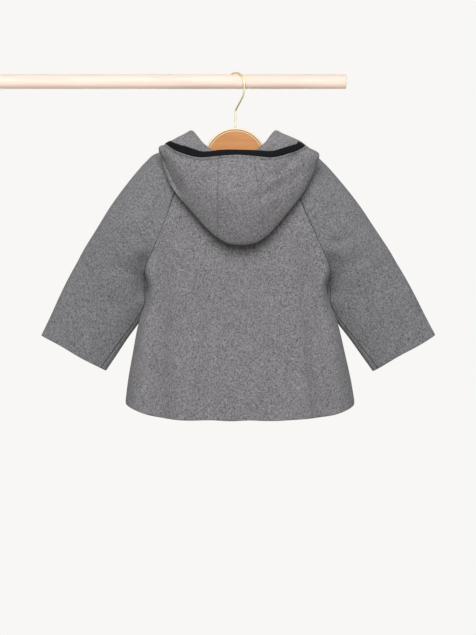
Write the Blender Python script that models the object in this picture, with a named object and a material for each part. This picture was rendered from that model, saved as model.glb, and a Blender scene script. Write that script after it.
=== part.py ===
"""A small child's hooded wool coat with raglan sleeves, on a wooden hanger hooked over a round rod.

The coat hangs with its back towards -Y and its hood down. Sizes are in millimetres and are turned into
metres where a mesh is made. The origin is on the rod's axis, straight above the coat's middle, +Z is up.
"""

import math

import bpy
import numpy as np

MM = 0.001

# Cloth and sewing
CLOTH = 2.4
SEAM_GAP = 0.3
FRONT_LAP = 18.0
LAP_EASE = 30.0
LAP_FLAT = 16.0
LAP_GAP = 0.9
CREASE_LIMIT = 0.4
BINDING_WIDTH = 5.9
BINDING_THICK = 4.0
BINDING_GAP = 0.8

# Buttons down the centre front
BUTTON_RADIUS = 9.0
BUTTON_THICK = 4.0
BUTTON_FIRST_Z = -186.0
BUTTON_PITCH = 68.0
BUTTON_COUNT = 4

# Rod, hook and hanger
ROD_RADIUS = 11.0
ROD_LEFT = -372.0
ROD_RIGHT = 166.0
ROD_CHAMFER = 1.0
HOOK_WIRE_RADIUS = 1.65
HOOK_RADIUS = 20.0
HOOK_TURN_DEG = 48.0
HOOK_TIP_DEG = 190.0
HOOK_START_DEG = -22.0
HANGER_THICK = 12.0
HANGER_EDGE = 2.5
DOME_RADIUS = 47.0
DOME_TOP_Z = -69.5
DOME_SPREAD = 1.25
ARM_END_RADIUS = 11.0
# sideways, z up the hook's shank from the hanger and out to where its round part starts
HOOK_BEND = (
    (0.0, DOME_TOP_Z + SEAM_GAP),
    (0.0, -56.0),
    (0.0, -46.5),
    (2.2, -41.0),
    (9.0, -31.5),
    (15.0, -22.5),
)
# x, z along the top of an arm, then along its foot back to the middle
ARM_TOP = ((58.0, -104.2), (85.0, -107.2), (113.0, -112.6))
ARM_FOOT = ((80.0, -132.0), (45.0, -128.0), (20.0, -125.5), (0.0, -125.0))

# How finely the cloth is cut into faces
ROWS_PER_SECTION = 2
TORSO_COLUMNS = 20
FRONT_COLUMNS = 10
SLEEVE_COLUMNS = 20
HOOD_COLUMNS_PER_STATION = 2
# from the neck to the stand, roll, fall, far layer, bottom fold, near layer and face edge
HOOD_ROWS_BETWEEN = (1, 2, 2, 4, 4, 4, 3)
HOOD_NORMAL_STEPS = 6
BINDING_FIRST_ROW = 4

# Torso sections from the neck to the hem. edge_x and edge_z follow the raglan seam, then the side seam.
# share is how far out the edge lies, from 0, on the side fold, to 1, level with the middle of the panel.
TORSO_COLUMNS_NAMED = ("edge_x", "edge_z", "middle_z", "depth", "share", "bow", "side_y")
BACK_SECTIONS = (
    # neck
    (46.0, -113.0, -127.0, -30.0, 0.97, 2.0, 0.0),
    # yoke
    (71.0, -142.0, -151.0, -34.0, 0.98, 2.0, 0.0),
    # shoulder blade
    (92.0, -171.5, -178.0, -37.0, 0.97, 2.0, 0.0),
    # chest
    (110.3, -213.0, -217.0, -39.0, 0.95, 2.0, 0.0),
    # above the underarm
    (126.2, -249.5, -251.5, -40.0, 0.86, 2.0, 1.0),
    # armpit fold
    (138.5, -282.0, -283.0, -41.0, 0.55, 2.0, 3.0),
    # underarm point
    (134.0, -309.0, -310.0, -42.0, 0.0, 2.2, 4.0),
    # under the sleeve
    (138.5, -333.0, -336.0, -43.0, 0.0, 2.6, -1.0),
    # waist
    (149.5, -363.0, -369.0, -45.0, 0.0, 3.2, -4.0),
    # hip
    (160.0, -412.0, -423.0, -49.0, 0.0, 3.8, -3.0),
    # above the hem
    (167.0, -447.0, -464.0, -52.0, 0.0, 4.2, -1.0),
    # hem
    (172.5, -481.0, -505.5, -55.0, 0.0, 4.5, 0.0),
)
FRONT_SECTIONS = (
    # neck
    (50.0, -121.0, -152.0, 32.0, 0.97, 2.0, 0.0),
    # yoke
    (76.0, -147.0, -168.0, 36.0, 0.98, 2.0, 0.0),
    # breast
    (93.5, -174.0, -190.0, 39.0, 0.97, 2.0, 0.0),
    # chest
    (110.5, -214.0, -222.0, 41.0, 0.95, 2.0, 0.0),
    # above the underarm
    (126.0, -250.0, -253.0, 42.0, 0.86, 2.0, 1.0),
    # armpit fold
    (138.5, -282.0, -283.0, 43.0, 0.55, 2.0, 3.0),
    # underarm point
    (134.0, -309.0, -310.0, 44.0, 0.0, 2.2, 4.0),
    # under the sleeve
    (138.5, -333.0, -336.0, 45.0, 0.0, 2.6, -1.0),
    # waist
    (149.5, -363.0, -369.0, 47.0, 0.0, 3.2, -4.0),
    # hip
    (160.0, -412.0, -423.0, 50.0, 0.0, 3.8, -3.0),
    # above the hem
    (167.0, -447.0, -464.0, 52.0, 0.0, 4.2, -1.0),
    # hem
    (172.5, -481.0, -505.5, 54.0, 0.0, 4.5, 0.0),
)
SIDE_ROUND = 2.5
UNDERARM_SECTION = 6

# The sleeve's upper edge, one row for each torso section down to the underarm, then on to the cuff.
UPPER_SLEEVE_NAMED = ("outer_x", "outer_z", "outer_y", "depth_back", "depth_front")
UPPER_SLEEVE = (
    # neck
    (64.0, -100.0, 0.0, 30.0, 31.5),
    # top of the shoulder
    (113.0, -106.5, 0.0, 34.0, 36.0),
    # shoulder end
    (133.5, -121.0, 0.0, 36.5, 38.0),
    # upper arm
    (159.5, -150.5, 0.0, 37.5, 39.0),
    # arm
    (186.0, -185.0, 1.0, 36.5, 38.0),
    # above the underarm
    (208.0, -219.0, 2.0, 33.0, 34.0),
    # underarm
    (228.0, -250.0, 3.0, 29.0, 29.0),
)
LOWER_SLEEVE_NAMED = UPPER_SLEEVE_NAMED + ("inner_x", "inner_z", "inner_y")
LOWER_SLEEVE = (
    # behind the body
    (240.0, -271.0, 5.0, 27.0, 26.0, 137.5, -335.0, 11.0),
    # clear of the body
    (255.0, -297.0, 7.0, 25.0, 24.0, 150.0, -361.0, 14.0),
    # forearm
    (269.0, -324.0, 9.0, 23.0, 21.5, 167.5, -386.0, 14.0),
    # wrist
    (282.0, -351.0, 11.0, 20.5, 19.5, 184.0, -410.0, 13.5),
    # cuff
    (297.0, -380.5, 12.0, 18.0, 17.5, 201.0, -434.5, 13.0),
)

# Soft folds of the torso: across_x is where each lies at the hem, lean is how far it drifts in by the chest.
FOLD_NAMED = ("across_x", "lean", "width", "depth", "top_z")
BACK_FOLDS = (
    (-112.0, 6.0, 15.0, 4.0, -240.0),
    (-44.0, 10.0, 20.0, 2.2, -330.0),
    (58.0, -8.0, 22.0, 2.0, -350.0),
    (113.0, -9.0, 15.0, 4.0, -235.0),
)
FRONT_FOLDS = (
    (-116.0, 8.0, 16.0, 4.0, -250.0),
    (-62.0, 12.0, 20.0, 2.4, -340.0),
    (66.0, -10.0, 20.0, 2.4, -330.0),
    (118.0, -8.0, 16.0, 4.0, -245.0),
)
FOLD_FADE = 90.0

# The hood, lying back. Each row is one line of cloth from the neck seam to the face edge, as x, y, z at the
# roll over the neck, the fall behind it, the far layer, the bottom fold, the near layer and the face edge.
# neck_share is where the line starts on the neckline, from 0 at the centre back to 1 at the centre front.
HOOD_POINTS_NAMED = ("neck_share", "roll", "fall", "far", "fold", "near", "face")
HOOD_STATIONS = (
    # centre back
    (
        0.00,
        (0, -33, -112), (0, -40, -122), (0, -44, -178),
        (0, -61, -246.5), (0, -82, -180), (0, -64, -114),
    ),
    # seam of the centre strip
    (
        0.12,
        (20, -33, -109), (23, -40, -119), (28, -44, -172),
        (34, -58.5, -236), (30, -79, -175), (25, -66, -115.5),
    ),
    # back corner of the neck
    (
        0.25,
        (42, -29, -98), (50, -37, -109), (61, -43, -149),
        (75.5, -52, -191), (66, -70, -154), (54, -68, -117.5),
    ),
    # side of the bag
    (
        0.33,
        (54, -19, -85), (65, -28, -94), (82, -40, -124),
        (98, -47, -157), (92, -60, -134), (79, -63, -110.5),
    ),
    # peak
    (
        0.42,
        (61.5, -8, -75.5), (72, -14, -81), (95, -27, -97),
        (110, -40, -118), (110, -53, -114), (100, -57, -99),
    ),
    # back of the shoulder
    (
        0.48,
        (63, 1, -77), (73, -2, -81.5), (92, -11, -90.5),
        (102, -18, -98.5), (107, -26, -102), (108.5, -34, -98.5),
    ),
    # top of the shoulder
    (
        0.54,
        (63, 12, -81), (73, 13, -84), (90, 9, -91),
        (99, 7, -96.5), (103.5, 6, -98), (107.5, 5, -97),
    ),
    # front of the shoulder
    (
        0.67,
        (55, 33, -100), (66, 38, -101), (81, 38, -104),
        (94, 36, -108), (102, 34, -111), (109, 32, -114),
    ),
    # front of the neck
    (
        0.80,
        (37, 42, -122), (46, 47, -125), (58, 49, -130),
        (70, 49, -134.5), (80, 48, -137), (88, 46, -139),
    ),
    # front end
    (
        0.93,
        (15, 39, -138), (20, 44, -140), (25, 46, -144),
        (30, 47, -149), (35, 47, -153.5), (40, 46.5, -158),
    ),
)
NECK_STAND = 9.0
HOOD_SEAM_GAP = 1.0
# The bag of the hood hangs to one side: x moved at each point of the stations behind the shoulders.
HOOD_SHIFT = {"fall": 1.0, "far": 3.0, "fold": 7.0, "near": 5.0, "face": 3.0}
HOOD_SHIFT_SHARE = (1.0, 1.0, 0.9, 0.5, 0.0, 0.0, 0.0, 0.0, 0.0, 0.0)
# Its +X side hangs further out than the other: how far at each station, and the share of that at each point.
HOOD_SIDE_OUT = (0.0, 0.0, 2.0, 5.0, 8.0, 6.0, 3.0, 1.0, 0.0, 0.0)
HOOD_SIDE_SHARE = {"fall": 0.1, "far": 0.5, "fold": 0.9, "near": 1.0, "face": 1.0}
STRIP_STATION = 1
NECK_INSET = 1.5 * CLOTH + 1.2
NECK_TUCK = 1.0

# The coat hangs a little off straight: x moved for each millimetre down from the level where it is true.
LEAN = 0.0237
LEAN_LEVEL_Z = -189.0

# Colours of each material, with roughness and metallic value
FINISHES = {
    "wool": ((0.135, 0.137, 0.142), 0.95, 0.0),
    "binding": ((0.012, 0.012, 0.014), 0.85, 0.0),
    "button": ((0.015, 0.015, 0.017), 0.35, 0.0),
    "hanger_wood": ((0.60, 0.32, 0.13), 0.45, 0.0),
    "rod_wood": ((0.83, 0.66, 0.52), 0.6, 0.0),
    "brass": ((0.75, 0.60, 0.30), 0.25, 1.0),
}


def material_of(finish):
    """The Principled material of that finish, made on its first use."""
    made = bpy.data.materials.get(finish)
    if made:
        return made
    colour, roughness, metallic = FINISHES[finish]
    made = bpy.data.materials.new(finish)
    made.use_nodes = True
    shader = made.node_tree.nodes["Principled BSDF"]
    shader.inputs["Base Color"].default_value = (*colour, 1.0)
    shader.inputs["Roughness"].default_value = roughness
    shader.inputs["Metallic"].default_value = metallic
    return made


def add_solid(name, points, faces, finish):
    """A smooth-shaded object from points in millimetres, with its faces turned outwards."""
    points = np.asarray(points, float)
    if signed_volume(points, faces) < 0:
        faces = [face[::-1] for face in faces]
    mesh = bpy.data.meshes.new(name)
    mesh.from_pydata((points * MM).tolist(), [], [tuple(int(i) for i in face) for face in faces])
    mesh.materials.append(material_of(finish))
    mesh.shade_smooth()
    mesh.set_sharp_from_angle(angle=math.radians(40))
    solid = bpy.data.objects.new(name, mesh)
    bpy.context.scene.collection.objects.link(solid)
    return solid


def signed_volume(points, faces):
    """Six times the volume inside the faces, negative where they point inwards."""
    total = 0.0
    for face in faces:
        first = points[face[0]]
        for second, third in zip(face[1:-1], face[2:]):
            total += np.dot(first, np.cross(points[second], points[third]))
    return total


def through(values, at, places=None):
    """A smooth curve through values at these places, or at 0, 1, 2 and so on, read at the given numbers."""
    values = np.asarray(values, float)
    places = np.arange(len(values), dtype=float) if places is None else places
    at = np.asarray(at, float)
    upright = (-1,) + (1,) * (values.ndim - 1)
    gap = np.diff(places).reshape(upright)
    rise = np.diff(values, axis=0) / gap
    inner = (rise[:-1] * gap[1:] + rise[1:] * gap[:-1]) / (gap[1:] + gap[:-1])
    slope = np.concatenate([rise[:1], inner, rise[-1:]])
    low = np.clip(np.searchsorted(places, at, side="right") - 1, 0, len(values) - 2)
    span = (places[low + 1] - places[low]).reshape(upright)
    f = (at - places[low]).reshape(upright) / span
    return (
        values[low] * (2 * f**3 - 3 * f**2 + 1)
        + slope[low] * span * (f**3 - 2 * f**2 + f)
        + values[low + 1] * (3 * f**2 - 2 * f**3)
        + slope[low + 1] * span * (f**3 - f**2)
    )


def sections(table, names, per_section=ROWS_PER_SECTION):
    """Each named column of a table, read smoothly at several rows for each section."""
    at = np.linspace(0, len(table) - 1, (len(table) - 1) * per_section + 1)
    columns = np.array(table, float).T
    return {name: through(column, at) for name, column in zip(names, columns)}


def rounded(share, power):
    """1 over most of 0 to 1, falling to 0 at 1 with an upright end, as the side of a flat oval does."""
    return np.sqrt(np.clip(1 - np.abs(share) ** power, 0, 1))


def fade(value):
    """Eases from 0 to 1 as value goes from 0 to 1."""
    value = np.clip(value, 0, 1)
    return value * value * (3 - 2 * value)


def fold_depth(folds, x, z):
    """How far soft folds push a panel in at these points."""
    hem_z = BACK_SECTIONS[-1][TORSO_COLUMNS_NAMED.index("edge_z")]
    depth = np.zeros_like(x)
    for row in folds:
        fold = dict(zip(FOLD_NAMED, row))
        under = fold["top_z"] - z
        down = np.clip(under / (fold["top_z"] - hem_z), 0, 1)
        middle = fold["across_x"] + fold["lean"] * (1 - down)
        depth += fold["depth"] * fade(under / FOLD_FADE) * np.exp(-(((x - middle) / fold["width"]) ** 2))
    return depth


def torso_grid(table, folds, x_of_row):
    """Outer points of a torso panel. x_of_row gives each row's x places for that row's half width."""
    rows = sections(table, TORSO_COLUMNS_NAMED)
    grid = []
    for i in range(len(rows["edge_x"])):
        row = {name: column[i] for name, column in rows.items()}
        x = x_of_row(row["edge_x"])
        across = np.clip(x / row["edge_x"], -1, 1)
        share = np.clip(row["share"], 0, 1)
        out = share + (1 - share) * rounded(across, SIDE_ROUND)
        y = row["side_y"] * (1 - out) + row["depth"] * out
        z = row["edge_z"] + (row["middle_z"] - row["edge_z"]) * (1 - np.abs(across) ** row["bow"])
        y -= np.sign(row["depth"]) * fold_depth(folds, x, z) * rounded(across, 4.0)
        grid.append(np.stack([x, y, z], axis=1))
    return np.array(grid)


def spread(count):
    """Places from -1 to 1, closer together near both ends."""
    even = np.linspace(-1, 1, count + 1)
    return 0.8 * np.sin(even * math.pi / 2) + 0.2 * even


def back_grid():
    """The back, from the -X side to the +X side, with half a seam gap off each edge."""
    places = spread(TORSO_COLUMNS)
    return pulled_in(torso_grid(BACK_SECTIONS, BACK_FOLDS, lambda half: places * half))


def front_grid(lies_over):
    """The +X front, from the side to past the middle. The one that lies over passes outside the other."""
    outer_half = spread(2 * FRONT_COLUMNS)[FRONT_COLUMNS:][::-1]

    def x_of_row(half):
        return outer_half * (half + FRONT_LAP) - FRONT_LAP

    folds = FRONT_FOLDS if lies_over else tuple((-row[0], -row[1], *row[2:]) for row in FRONT_FOLDS)
    grid = torso_grid(FRONT_SECTIONS, folds, x_of_row)
    if lies_over:
        lifted = fade((FRONT_LAP + LAP_FLAT + LAP_EASE - grid[:, :, 0]) / LAP_EASE)
        grid[:, :, 1] += (CLOTH + LAP_GAP) * lifted
    return pulled_in(grid, last=False)


def pulled_in(grid, first=True, last=True, gap=SEAM_GAP):
    """The grid with its first and last columns moved half a seam gap into the panel."""
    grid = grid.copy()
    for wanted, edge, beside in ((first, 0, 1), (last, -1, -2)):
        if wanted:
            step = grid[:, beside] - grid[:, edge]
            grid[:, edge] += step / np.linalg.norm(step, axis=1, keepdims=True) * gap / 2
    return grid


def sleeve_grid():
    """The +X sleeve, from its back seam over the outer fold to its front seam, neck row first."""
    back = sections(BACK_SECTIONS, TORSO_COLUMNS_NAMED)
    front = sections(FRONT_SECTIONS, TORSO_COLUMNS_NAMED)
    underarm = dict(zip(TORSO_COLUMNS_NAMED, BACK_SECTIONS[UNDERARM_SECTION]))
    lower = dict(zip(LOWER_SLEEVE_NAMED, np.array(LOWER_SLEEVE).T))
    outer_table = tuple(UPPER_SLEEVE) + tuple(row[: len(UPPER_SLEEVE_NAMED)] for row in LOWER_SLEEVE)
    outer = sections(outer_table, UPPER_SLEEVE_NAMED)
    inner_first = [(underarm["edge_x"], underarm["edge_z"], underarm["side_y"])]
    inner_table = inner_first + list(zip(lower["inner_x"], lower["inner_z"], lower["inner_y"]))
    inner = sections(inner_table, ("x", "z", "y"))

    def seam_line(torso):
        """A raglan seam down to the underarm, then the inner line of the sleeve to the cuff."""
        share = np.clip(torso["share"], 0, 1)
        y = torso["side_y"] * (1 - share) + torso["depth"] * share
        upper = np.stack([torso["edge_x"], y, torso["edge_z"]], axis=1)
        upper = upper[: UNDERARM_SECTION * ROWS_PER_SECTION + 1]
        return np.concatenate([upper, np.stack([inner["x"], inner["y"], inner["z"]], axis=1)[1:]])

    fold = np.stack([outer["outer_x"], outer["outer_y"], outer["outer_z"]], axis=1)
    half = SLEEVE_COLUMNS // 2
    along = (1 - np.cos(np.linspace(0, math.pi, half + 1))) / 2
    halves = []
    for seam, depth, side in (
        (seam_line(back), outer["depth_back"], -1),
        (seam_line(front), outer["depth_front"], 1),
    ):
        across = fold - seam
        seam = seam + across / np.linalg.norm(across, axis=1, keepdims=True) * SEAM_GAP
        at = along[None, :]
        points = seam[:, None, :] + (fold - seam)[:, None, :] * along[None, :, None]
        share = (side * (seam[:, 1] - fold[:, 1]) / depth)[:, None]
        bulge = rounded(at, SIDE_ROUND) * (share + (1 - share) * rounded(1 - at, SIDE_ROUND))
        points[:, :, 1] = fold[:, None, 1] + side * depth[:, None] * bulge
        halves.append(points)
    return np.concatenate([halves[0], halves[1][:, ::-1][:, 1:]], axis=1)


def leaned(points):
    """The points moved sideways by the coat's lean at their height."""
    moved = np.array(points, float)
    moved[..., 0] += LEAN * (LEAN_LEVEL_Z - moved[..., 2])
    return moved


def mirrored(grid):
    """The grid on the -X side, with its columns turned round so that it still faces out."""
    return grid[:, ::-1] * np.array([-1, 1, 1])


def normals_of(grid, closed_from=None):
    """Unit normals of a grid of points, facing out where columns run round the coat and rows run down."""
    down = np.gradient(grid, axis=0)
    across = np.gradient(grid, axis=1)
    if closed_from is not None:
        joined = (grid[closed_from:, 1] - grid[closed_from:, -2]) / 2
        across[closed_from:, 0] = joined
        across[closed_from:, -1] = joined
    normal = np.cross(down, across)
    return normal / np.linalg.norm(normal, axis=2, keepdims=True)


def share_normals(first, second):
    """Gives two sewn edges one normal, so that their walls stay parallel, except in a deep crease."""
    level = np.sum(first * second, axis=1) > CREASE_LIMIT
    both = first[level] + second[level]
    both /= np.linalg.norm(both, axis=1, keepdims=True)
    first[level] = both
    second[level] = both


def thick_sheet(name, outer, inner, finish, closed_from=None):
    """A closed wall between two grids. From the row closed_from, its first and last columns are one."""
    rows, columns = outer.shape[:2]
    index = np.arange(rows * columns).reshape(rows, columns)
    if closed_from is not None:
        index[closed_from:, -1] = index[closed_from:, 0]
    under = index + rows * columns
    open_rows = rows - 1 if closed_from is None else closed_from
    faces = []
    for r in range(rows - 1):
        for c in range(columns - 1):
            ring = ((r, c), (r, c + 1), (r + 1, c + 1), (r + 1, c))
            faces.append([index[at] for at in ring])
            faces.append([under[at] for at in ring[::-1]])
    for c in range(columns - 1):
        faces.append([index[0, c + 1], index[0, c], under[0, c], under[0, c + 1]])
        faces.append([index[-1, c], index[-1, c + 1], under[-1, c + 1], under[-1, c]])
    for r in range(open_rows):
        faces.append([index[r, 0], index[r + 1, 0], under[r + 1, 0], under[r, 0]])
        faces.append([index[r + 1, -1], index[r, -1], under[r, -1], under[r + 1, -1]])
    points = np.concatenate([outer.reshape(-1, 3), inner.reshape(-1, 3)])
    used = sorted({int(i) for face in faces for i in face})
    place = {old: new for new, old in enumerate(used)}
    faces = [[place[int(i)] for i in face] for face in faces]
    return add_solid(name, points[used], faces, finish)


def add_coat_body():
    """Back, two fronts and two sleeves, with shared normals along the seams. Returns their outer grids."""
    last_open = UNDERARM_SECTION * ROWS_PER_SECTION
    grids = {
        "back": back_grid(),
        "front_right": front_grid(lies_over=True),
        "front_left": mirrored(front_grid(lies_over=False)),
        "sleeve_right": sleeve_grid(),
    }
    grids["sleeve_left"] = mirrored(grids["sleeve_right"])
    closed = {"sleeve_right": last_open, "sleeve_left": last_open}
    normals = {name: normals_of(grid, closed.get(name)) for name, grid in grids.items()}
    armhole = slice(0, last_open + 1)
    side = slice(last_open, None)
    share_normals(normals["back"][armhole, -1], normals["sleeve_right"][armhole, 0])
    share_normals(normals["front_right"][armhole, 0], normals["sleeve_right"][armhole, -1])
    share_normals(normals["back"][armhole, 0], normals["sleeve_left"][armhole, -1])
    share_normals(normals["front_left"][armhole, -1], normals["sleeve_left"][armhole, 0])
    share_normals(normals["back"][side, -1], normals["front_right"][side, 0])
    share_normals(normals["back"][side, 0], normals["front_left"][side, -1])
    for name in closed:
        normals[name][last_open, 0] = normals[name][last_open, -1]
    for name, grid in grids.items():
        inner = grid - normals[name] * CLOTH
        thick_sheet(name, leaned(grid), leaned(inner), "wool", closed.get(name))
    return grids


def neckline(grids):
    """Points along the +X half of the neckline, from the centre back to the centre front."""
    back = grids["back"][0, TORSO_COLUMNS // 2 :]
    sleeve = grids["sleeve_right"][0]
    front = mirrored(grids["front_left"])[0]
    front = front[front[:, 0] >= 0]
    return np.concatenate([back, sleeve, front])


def read_along(points, shares):
    """Points at these shares of a line's length."""
    steps = np.linalg.norm(np.diff(points, axis=0), axis=1)
    run = np.concatenate([[0], np.cumsum(steps)]) / steps.sum()
    return np.stack([np.interp(shares, run, points[:, k]) for k in range(3)], axis=1)


def hood_lines(grids, finer):
    """The hood's middle surface as a grid. Its columns are lines of cloth from the neck to the face edge."""
    shares = np.array([station[0] for station in HOOD_STATIONS])
    neck = read_along(neckline(grids), shares)
    inward = -neck * np.array([1, 1, 0])
    neck = neck + inward / np.linalg.norm(inward, axis=1, keepdims=True) * NECK_INSET
    neck[:, 2] -= NECK_TUCK
    stand = neck + np.array([0, 0, NECK_STAND])
    net = np.array([[low, high, *row[1:]] for low, high, row in zip(neck, stand, HOOD_STATIONS)], float)
    net[0, :, 0] = 0.0
    whole = np.concatenate([net[:0:-1] * np.array([-1, 1, 1]), net])
    share = np.array(HOOD_SHIFT_SHARE[:0:-1] + HOOD_SHIFT_SHARE)
    names = ("neck", "stand", *HOOD_POINTS_NAMED[1:])
    whole[:, :, 0] += share[:, None] * np.array([HOOD_SHIFT.get(name, 0.0) for name in names])
    outward = np.array([HOOD_SIDE_SHARE.get(name, 0.0) for name in names])
    whole[len(net) - 1 :, :, 0] += np.array(HOOD_SIDE_OUT)[:, None] * outward
    count = (len(whole) - 1) * HOOD_COLUMNS_PER_STATION * finer + 1
    lines = through(whole, np.linspace(0, len(whole) - 1, count))
    grid = np.stack([spaced_line(line, finer) for line in lines], axis=1)
    return leaned(grid)


def spaced_line(knots, finer):
    """One line of hood cloth through its named points, with a set number of rows between each two."""
    places = np.concatenate([[0], np.cumsum(np.sqrt(np.linalg.norm(np.diff(knots, axis=0), axis=1)))])
    steps = [np.arange(1, rows * finer + 1) / (rows * finer) for rows in HOOD_ROWS_BETWEEN]
    spans = zip(places, places[1:], steps)
    at = np.concatenate([places[:1]] + [low + (high - low) * step for low, high, step in spans])
    return through(knots, at, places)


def add_hood(grids):
    """The hood's centre strip and two sides, and the binding round its open edge."""
    fine = hood_lines(grids, HOOD_NORMAL_STEPS)
    normal = normals_of(fine)[::HOOD_NORMAL_STEPS, ::HOOD_NORMAL_STEPS]
    middle = fine[::HOOD_NORMAL_STEPS, ::HOOD_NORMAL_STEPS]
    half = (middle.shape[1] - 1) // 2
    strip = STRIP_STATION * HOOD_COLUMNS_PER_STATION
    pieces = {
        "hood_left": (slice(0, half - strip + 1), False, True),
        "hood_centre": (slice(half - strip, half + strip + 1), True, True),
        "hood_right": (slice(half + strip, None), True, False),
    }
    for name, (columns, sewn_first, sewn_last) in pieces.items():
        surface = pulled_in(middle[:, columns], sewn_first, sewn_last, HOOD_SEAM_GAP)
        lift = normal[:, columns] * CLOTH / 2
        thick_sheet(name, surface + lift, surface - lift, "wool")
    add_binding(middle, normal)


def add_binding(middle, normal):
    """A folded strip along the hood's front ends and face edge, just outside the cloth."""
    end = slice(BINDING_FIRST_ROW, None)
    edge = np.concatenate([middle[end, 0], middle[-1, 1:-1], middle[end, -1][::-1]])
    facing = np.concatenate([normal[end, 0], normal[-1, 1:-1], normal[end, -1][::-1]])
    inside = np.concatenate([middle[end, 1], middle[-2, 1:-1], middle[end, -2][::-1]])
    corner = middle.shape[0] - 1 - BINDING_FIRST_ROW
    for at, beside in ((corner, middle[-3, 2]), (len(edge) - 1 - corner, middle[-3, -3])):
        inside[at] = beside
    along = np.gradient(edge, axis=0)
    along /= np.linalg.norm(along, axis=1, keepdims=True)
    facing = facing - along * np.sum(facing * along, axis=1, keepdims=True)
    facing /= np.linalg.norm(facing, axis=1, keepdims=True)
    away = np.cross(along, facing)
    away *= np.sign(np.sum(away * (edge - inside), axis=1, keepdims=True))
    near, far, wide = BINDING_GAP, BINDING_GAP + BINDING_WIDTH, BINDING_THICK / 2
    one_side = ((near, wide), (far - wide, wide), (far, wide / 2))
    profile = one_side + tuple((out, -up) for out, up in one_side[::-1])
    rings = np.array([edge + away * out + facing * up for out, up in profile])
    sides, count = rings.shape[:2]
    points = rings.transpose(1, 0, 2).reshape(-1, 3)
    faces = []
    for i in range(count - 1):
        for k in range(sides):
            after = (k + 1) % sides
            faces.append([i * sides + k, i * sides + after, (i + 1) * sides + after, (i + 1) * sides + k])
    faces.append(list(range(sides))[::-1])
    faces.append([(count - 1) * sides + k for k in range(sides)])
    add_solid("hood_binding", points, faces, "binding")


def add_turned(name, profile, centre, axis, finish, sides):
    """A solid of revolution. profile is (distance along the axis, radius), with a flat face at each end."""
    axis = np.asarray(axis, float) / np.linalg.norm(axis)
    helper = np.array([0, 0, 1]) if abs(axis[2]) < 0.9 else np.array([1, 0, 0])
    across = np.cross(helper, axis)
    across /= np.linalg.norm(across)
    other = np.cross(axis, across)
    angle = np.linspace(0, 2 * math.pi, sides, endpoint=False)
    circle = np.cos(angle)[:, None] * across + np.sin(angle)[:, None] * other
    centre = np.asarray(centre, float)
    points = np.concatenate([centre + axis * out + circle * radius for out, radius in profile])
    faces = [list(range(sides))[::-1]]
    for ring in range(len(profile) - 1):
        for k in range(sides):
            after = (k + 1) % sides
            low, high = ring * sides, (ring + 1) * sides
            faces.append([low + k, low + after, high + after, high + k])
    faces.append([(len(profile) - 1) * sides + k for k in range(sides)])
    add_solid(name, points, faces, finish)


def add_buttons(grids):
    """Round buttons with a raised rim, on the centre line of the front that lies over."""
    front = grids["front_right"]
    at_middle = np.array([[np.interp(0, row[::-1, 0], row[::-1, k]) for k in range(3)] for row in front])
    rim, dish = BUTTON_THICK, BUTTON_THICK - 1.4
    radius = BUTTON_RADIUS
    profile = (
        (0.0, radius - 2.0),
        (1.0, radius - 0.5),
        (2.2, radius),
        (rim - 0.4, radius - 0.5),
        (rim, radius - 1.3),
        (rim - 0.3, radius - 2.4),
        (dish, radius - 3.4),
    )
    for number in range(BUTTON_COUNT):
        z = BUTTON_FIRST_Z - BUTTON_PITCH * number
        y = np.interp(-z, -at_middle[:, 2], at_middle[:, 1])
        slope = (np.interp(-z + 5, -at_middle[:, 2], at_middle[:, 1]) - y) / 5
        place = leaned((0, y + SEAM_GAP, z))
        add_turned(f"button_{number + 1}", profile, place, (0, 1, slope), "button", 16)


def hanger_outline():
    """The hanger's edge, seen from the front: a round dome, two arms with round ends, and an arched foot."""
    dome_z = DOME_TOP_Z - DOME_RADIUS
    dome_turn = np.linspace(0, DOME_SPREAD, 9)
    dome = [(DOME_RADIUS * math.sin(a), dome_z + DOME_RADIUS * math.cos(a)) for a in dome_turn]
    end_x, end_z = ARM_TOP[-1]
    end_z -= ARM_END_RADIUS
    end_turn = np.linspace(0.5, math.pi, 6)
    tip = [(end_x + ARM_END_RADIUS * math.sin(a), end_z + ARM_END_RADIUS * math.cos(a)) for a in end_turn]
    right = dome + list(ARM_TOP) + tip + list(ARM_FOOT)
    left = [(-x, z) for x, z in right[::-1][1:-1]]
    return np.array(right + left)


def add_hanger():
    """A flat wooden board cut to the outline, with its edges rounded over."""
    outline = hanger_outline()
    tangent = np.roll(outline, -1, axis=0) - np.roll(outline, 1, axis=0)
    tangent /= np.linalg.norm(tangent, axis=1, keepdims=True)
    inward = np.stack([tangent[:, 1], -tangent[:, 0]], axis=1)
    half = HANGER_THICK / 2
    angles = np.linspace(0, math.pi / 2, 3)
    levels = [(HANGER_EDGE * (1 - math.sin(a)) - half, HANGER_EDGE * (1 - math.cos(a))) for a in angles[::-1]]
    levels += [(-y, inset) for y, inset in levels[::-1]]
    count = len(outline)
    points = []
    for y, inset in levels:
        moved = outline + inward * inset
        points += [(x, y, z) for x, z in moved]
    faces = [list(range(count))]
    for level in range(len(levels) - 1):
        low, high = level * count, (level + 1) * count
        for k in range(count):
            after = (k + 1) % count
            faces.append([low + after, low + k, high + k, high + after])
    faces.append([(len(levels) - 1) * count + k for k in range(count)][::-1])
    add_solid("hanger", points, faces, "hanger_wood")


def hook_points():
    """The hook's middle line in its own plane: up the shank, out in a bend, and round the rod."""
    centre_z = ROD_RADIUS + SEAM_GAP + HOOK_WIRE_RADIUS - HOOK_RADIUS + 0.35
    start, end = math.radians(HOOK_START_DEG), math.radians(HOOK_TIP_DEG)
    turns = np.linspace(start, end, 15)
    ring = [(HOOK_RADIUS * math.cos(a), centre_z + HOOK_RADIUS * math.sin(a)) for a in turns]
    knots = np.array([(side, 0.0, z) for side, z in (*HOOK_BEND, *ring)])
    fine = through(knots, np.linspace(0, len(knots) - 1, 8 * len(knots)))
    return read_along(fine, np.linspace(0, 1, 32))


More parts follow.
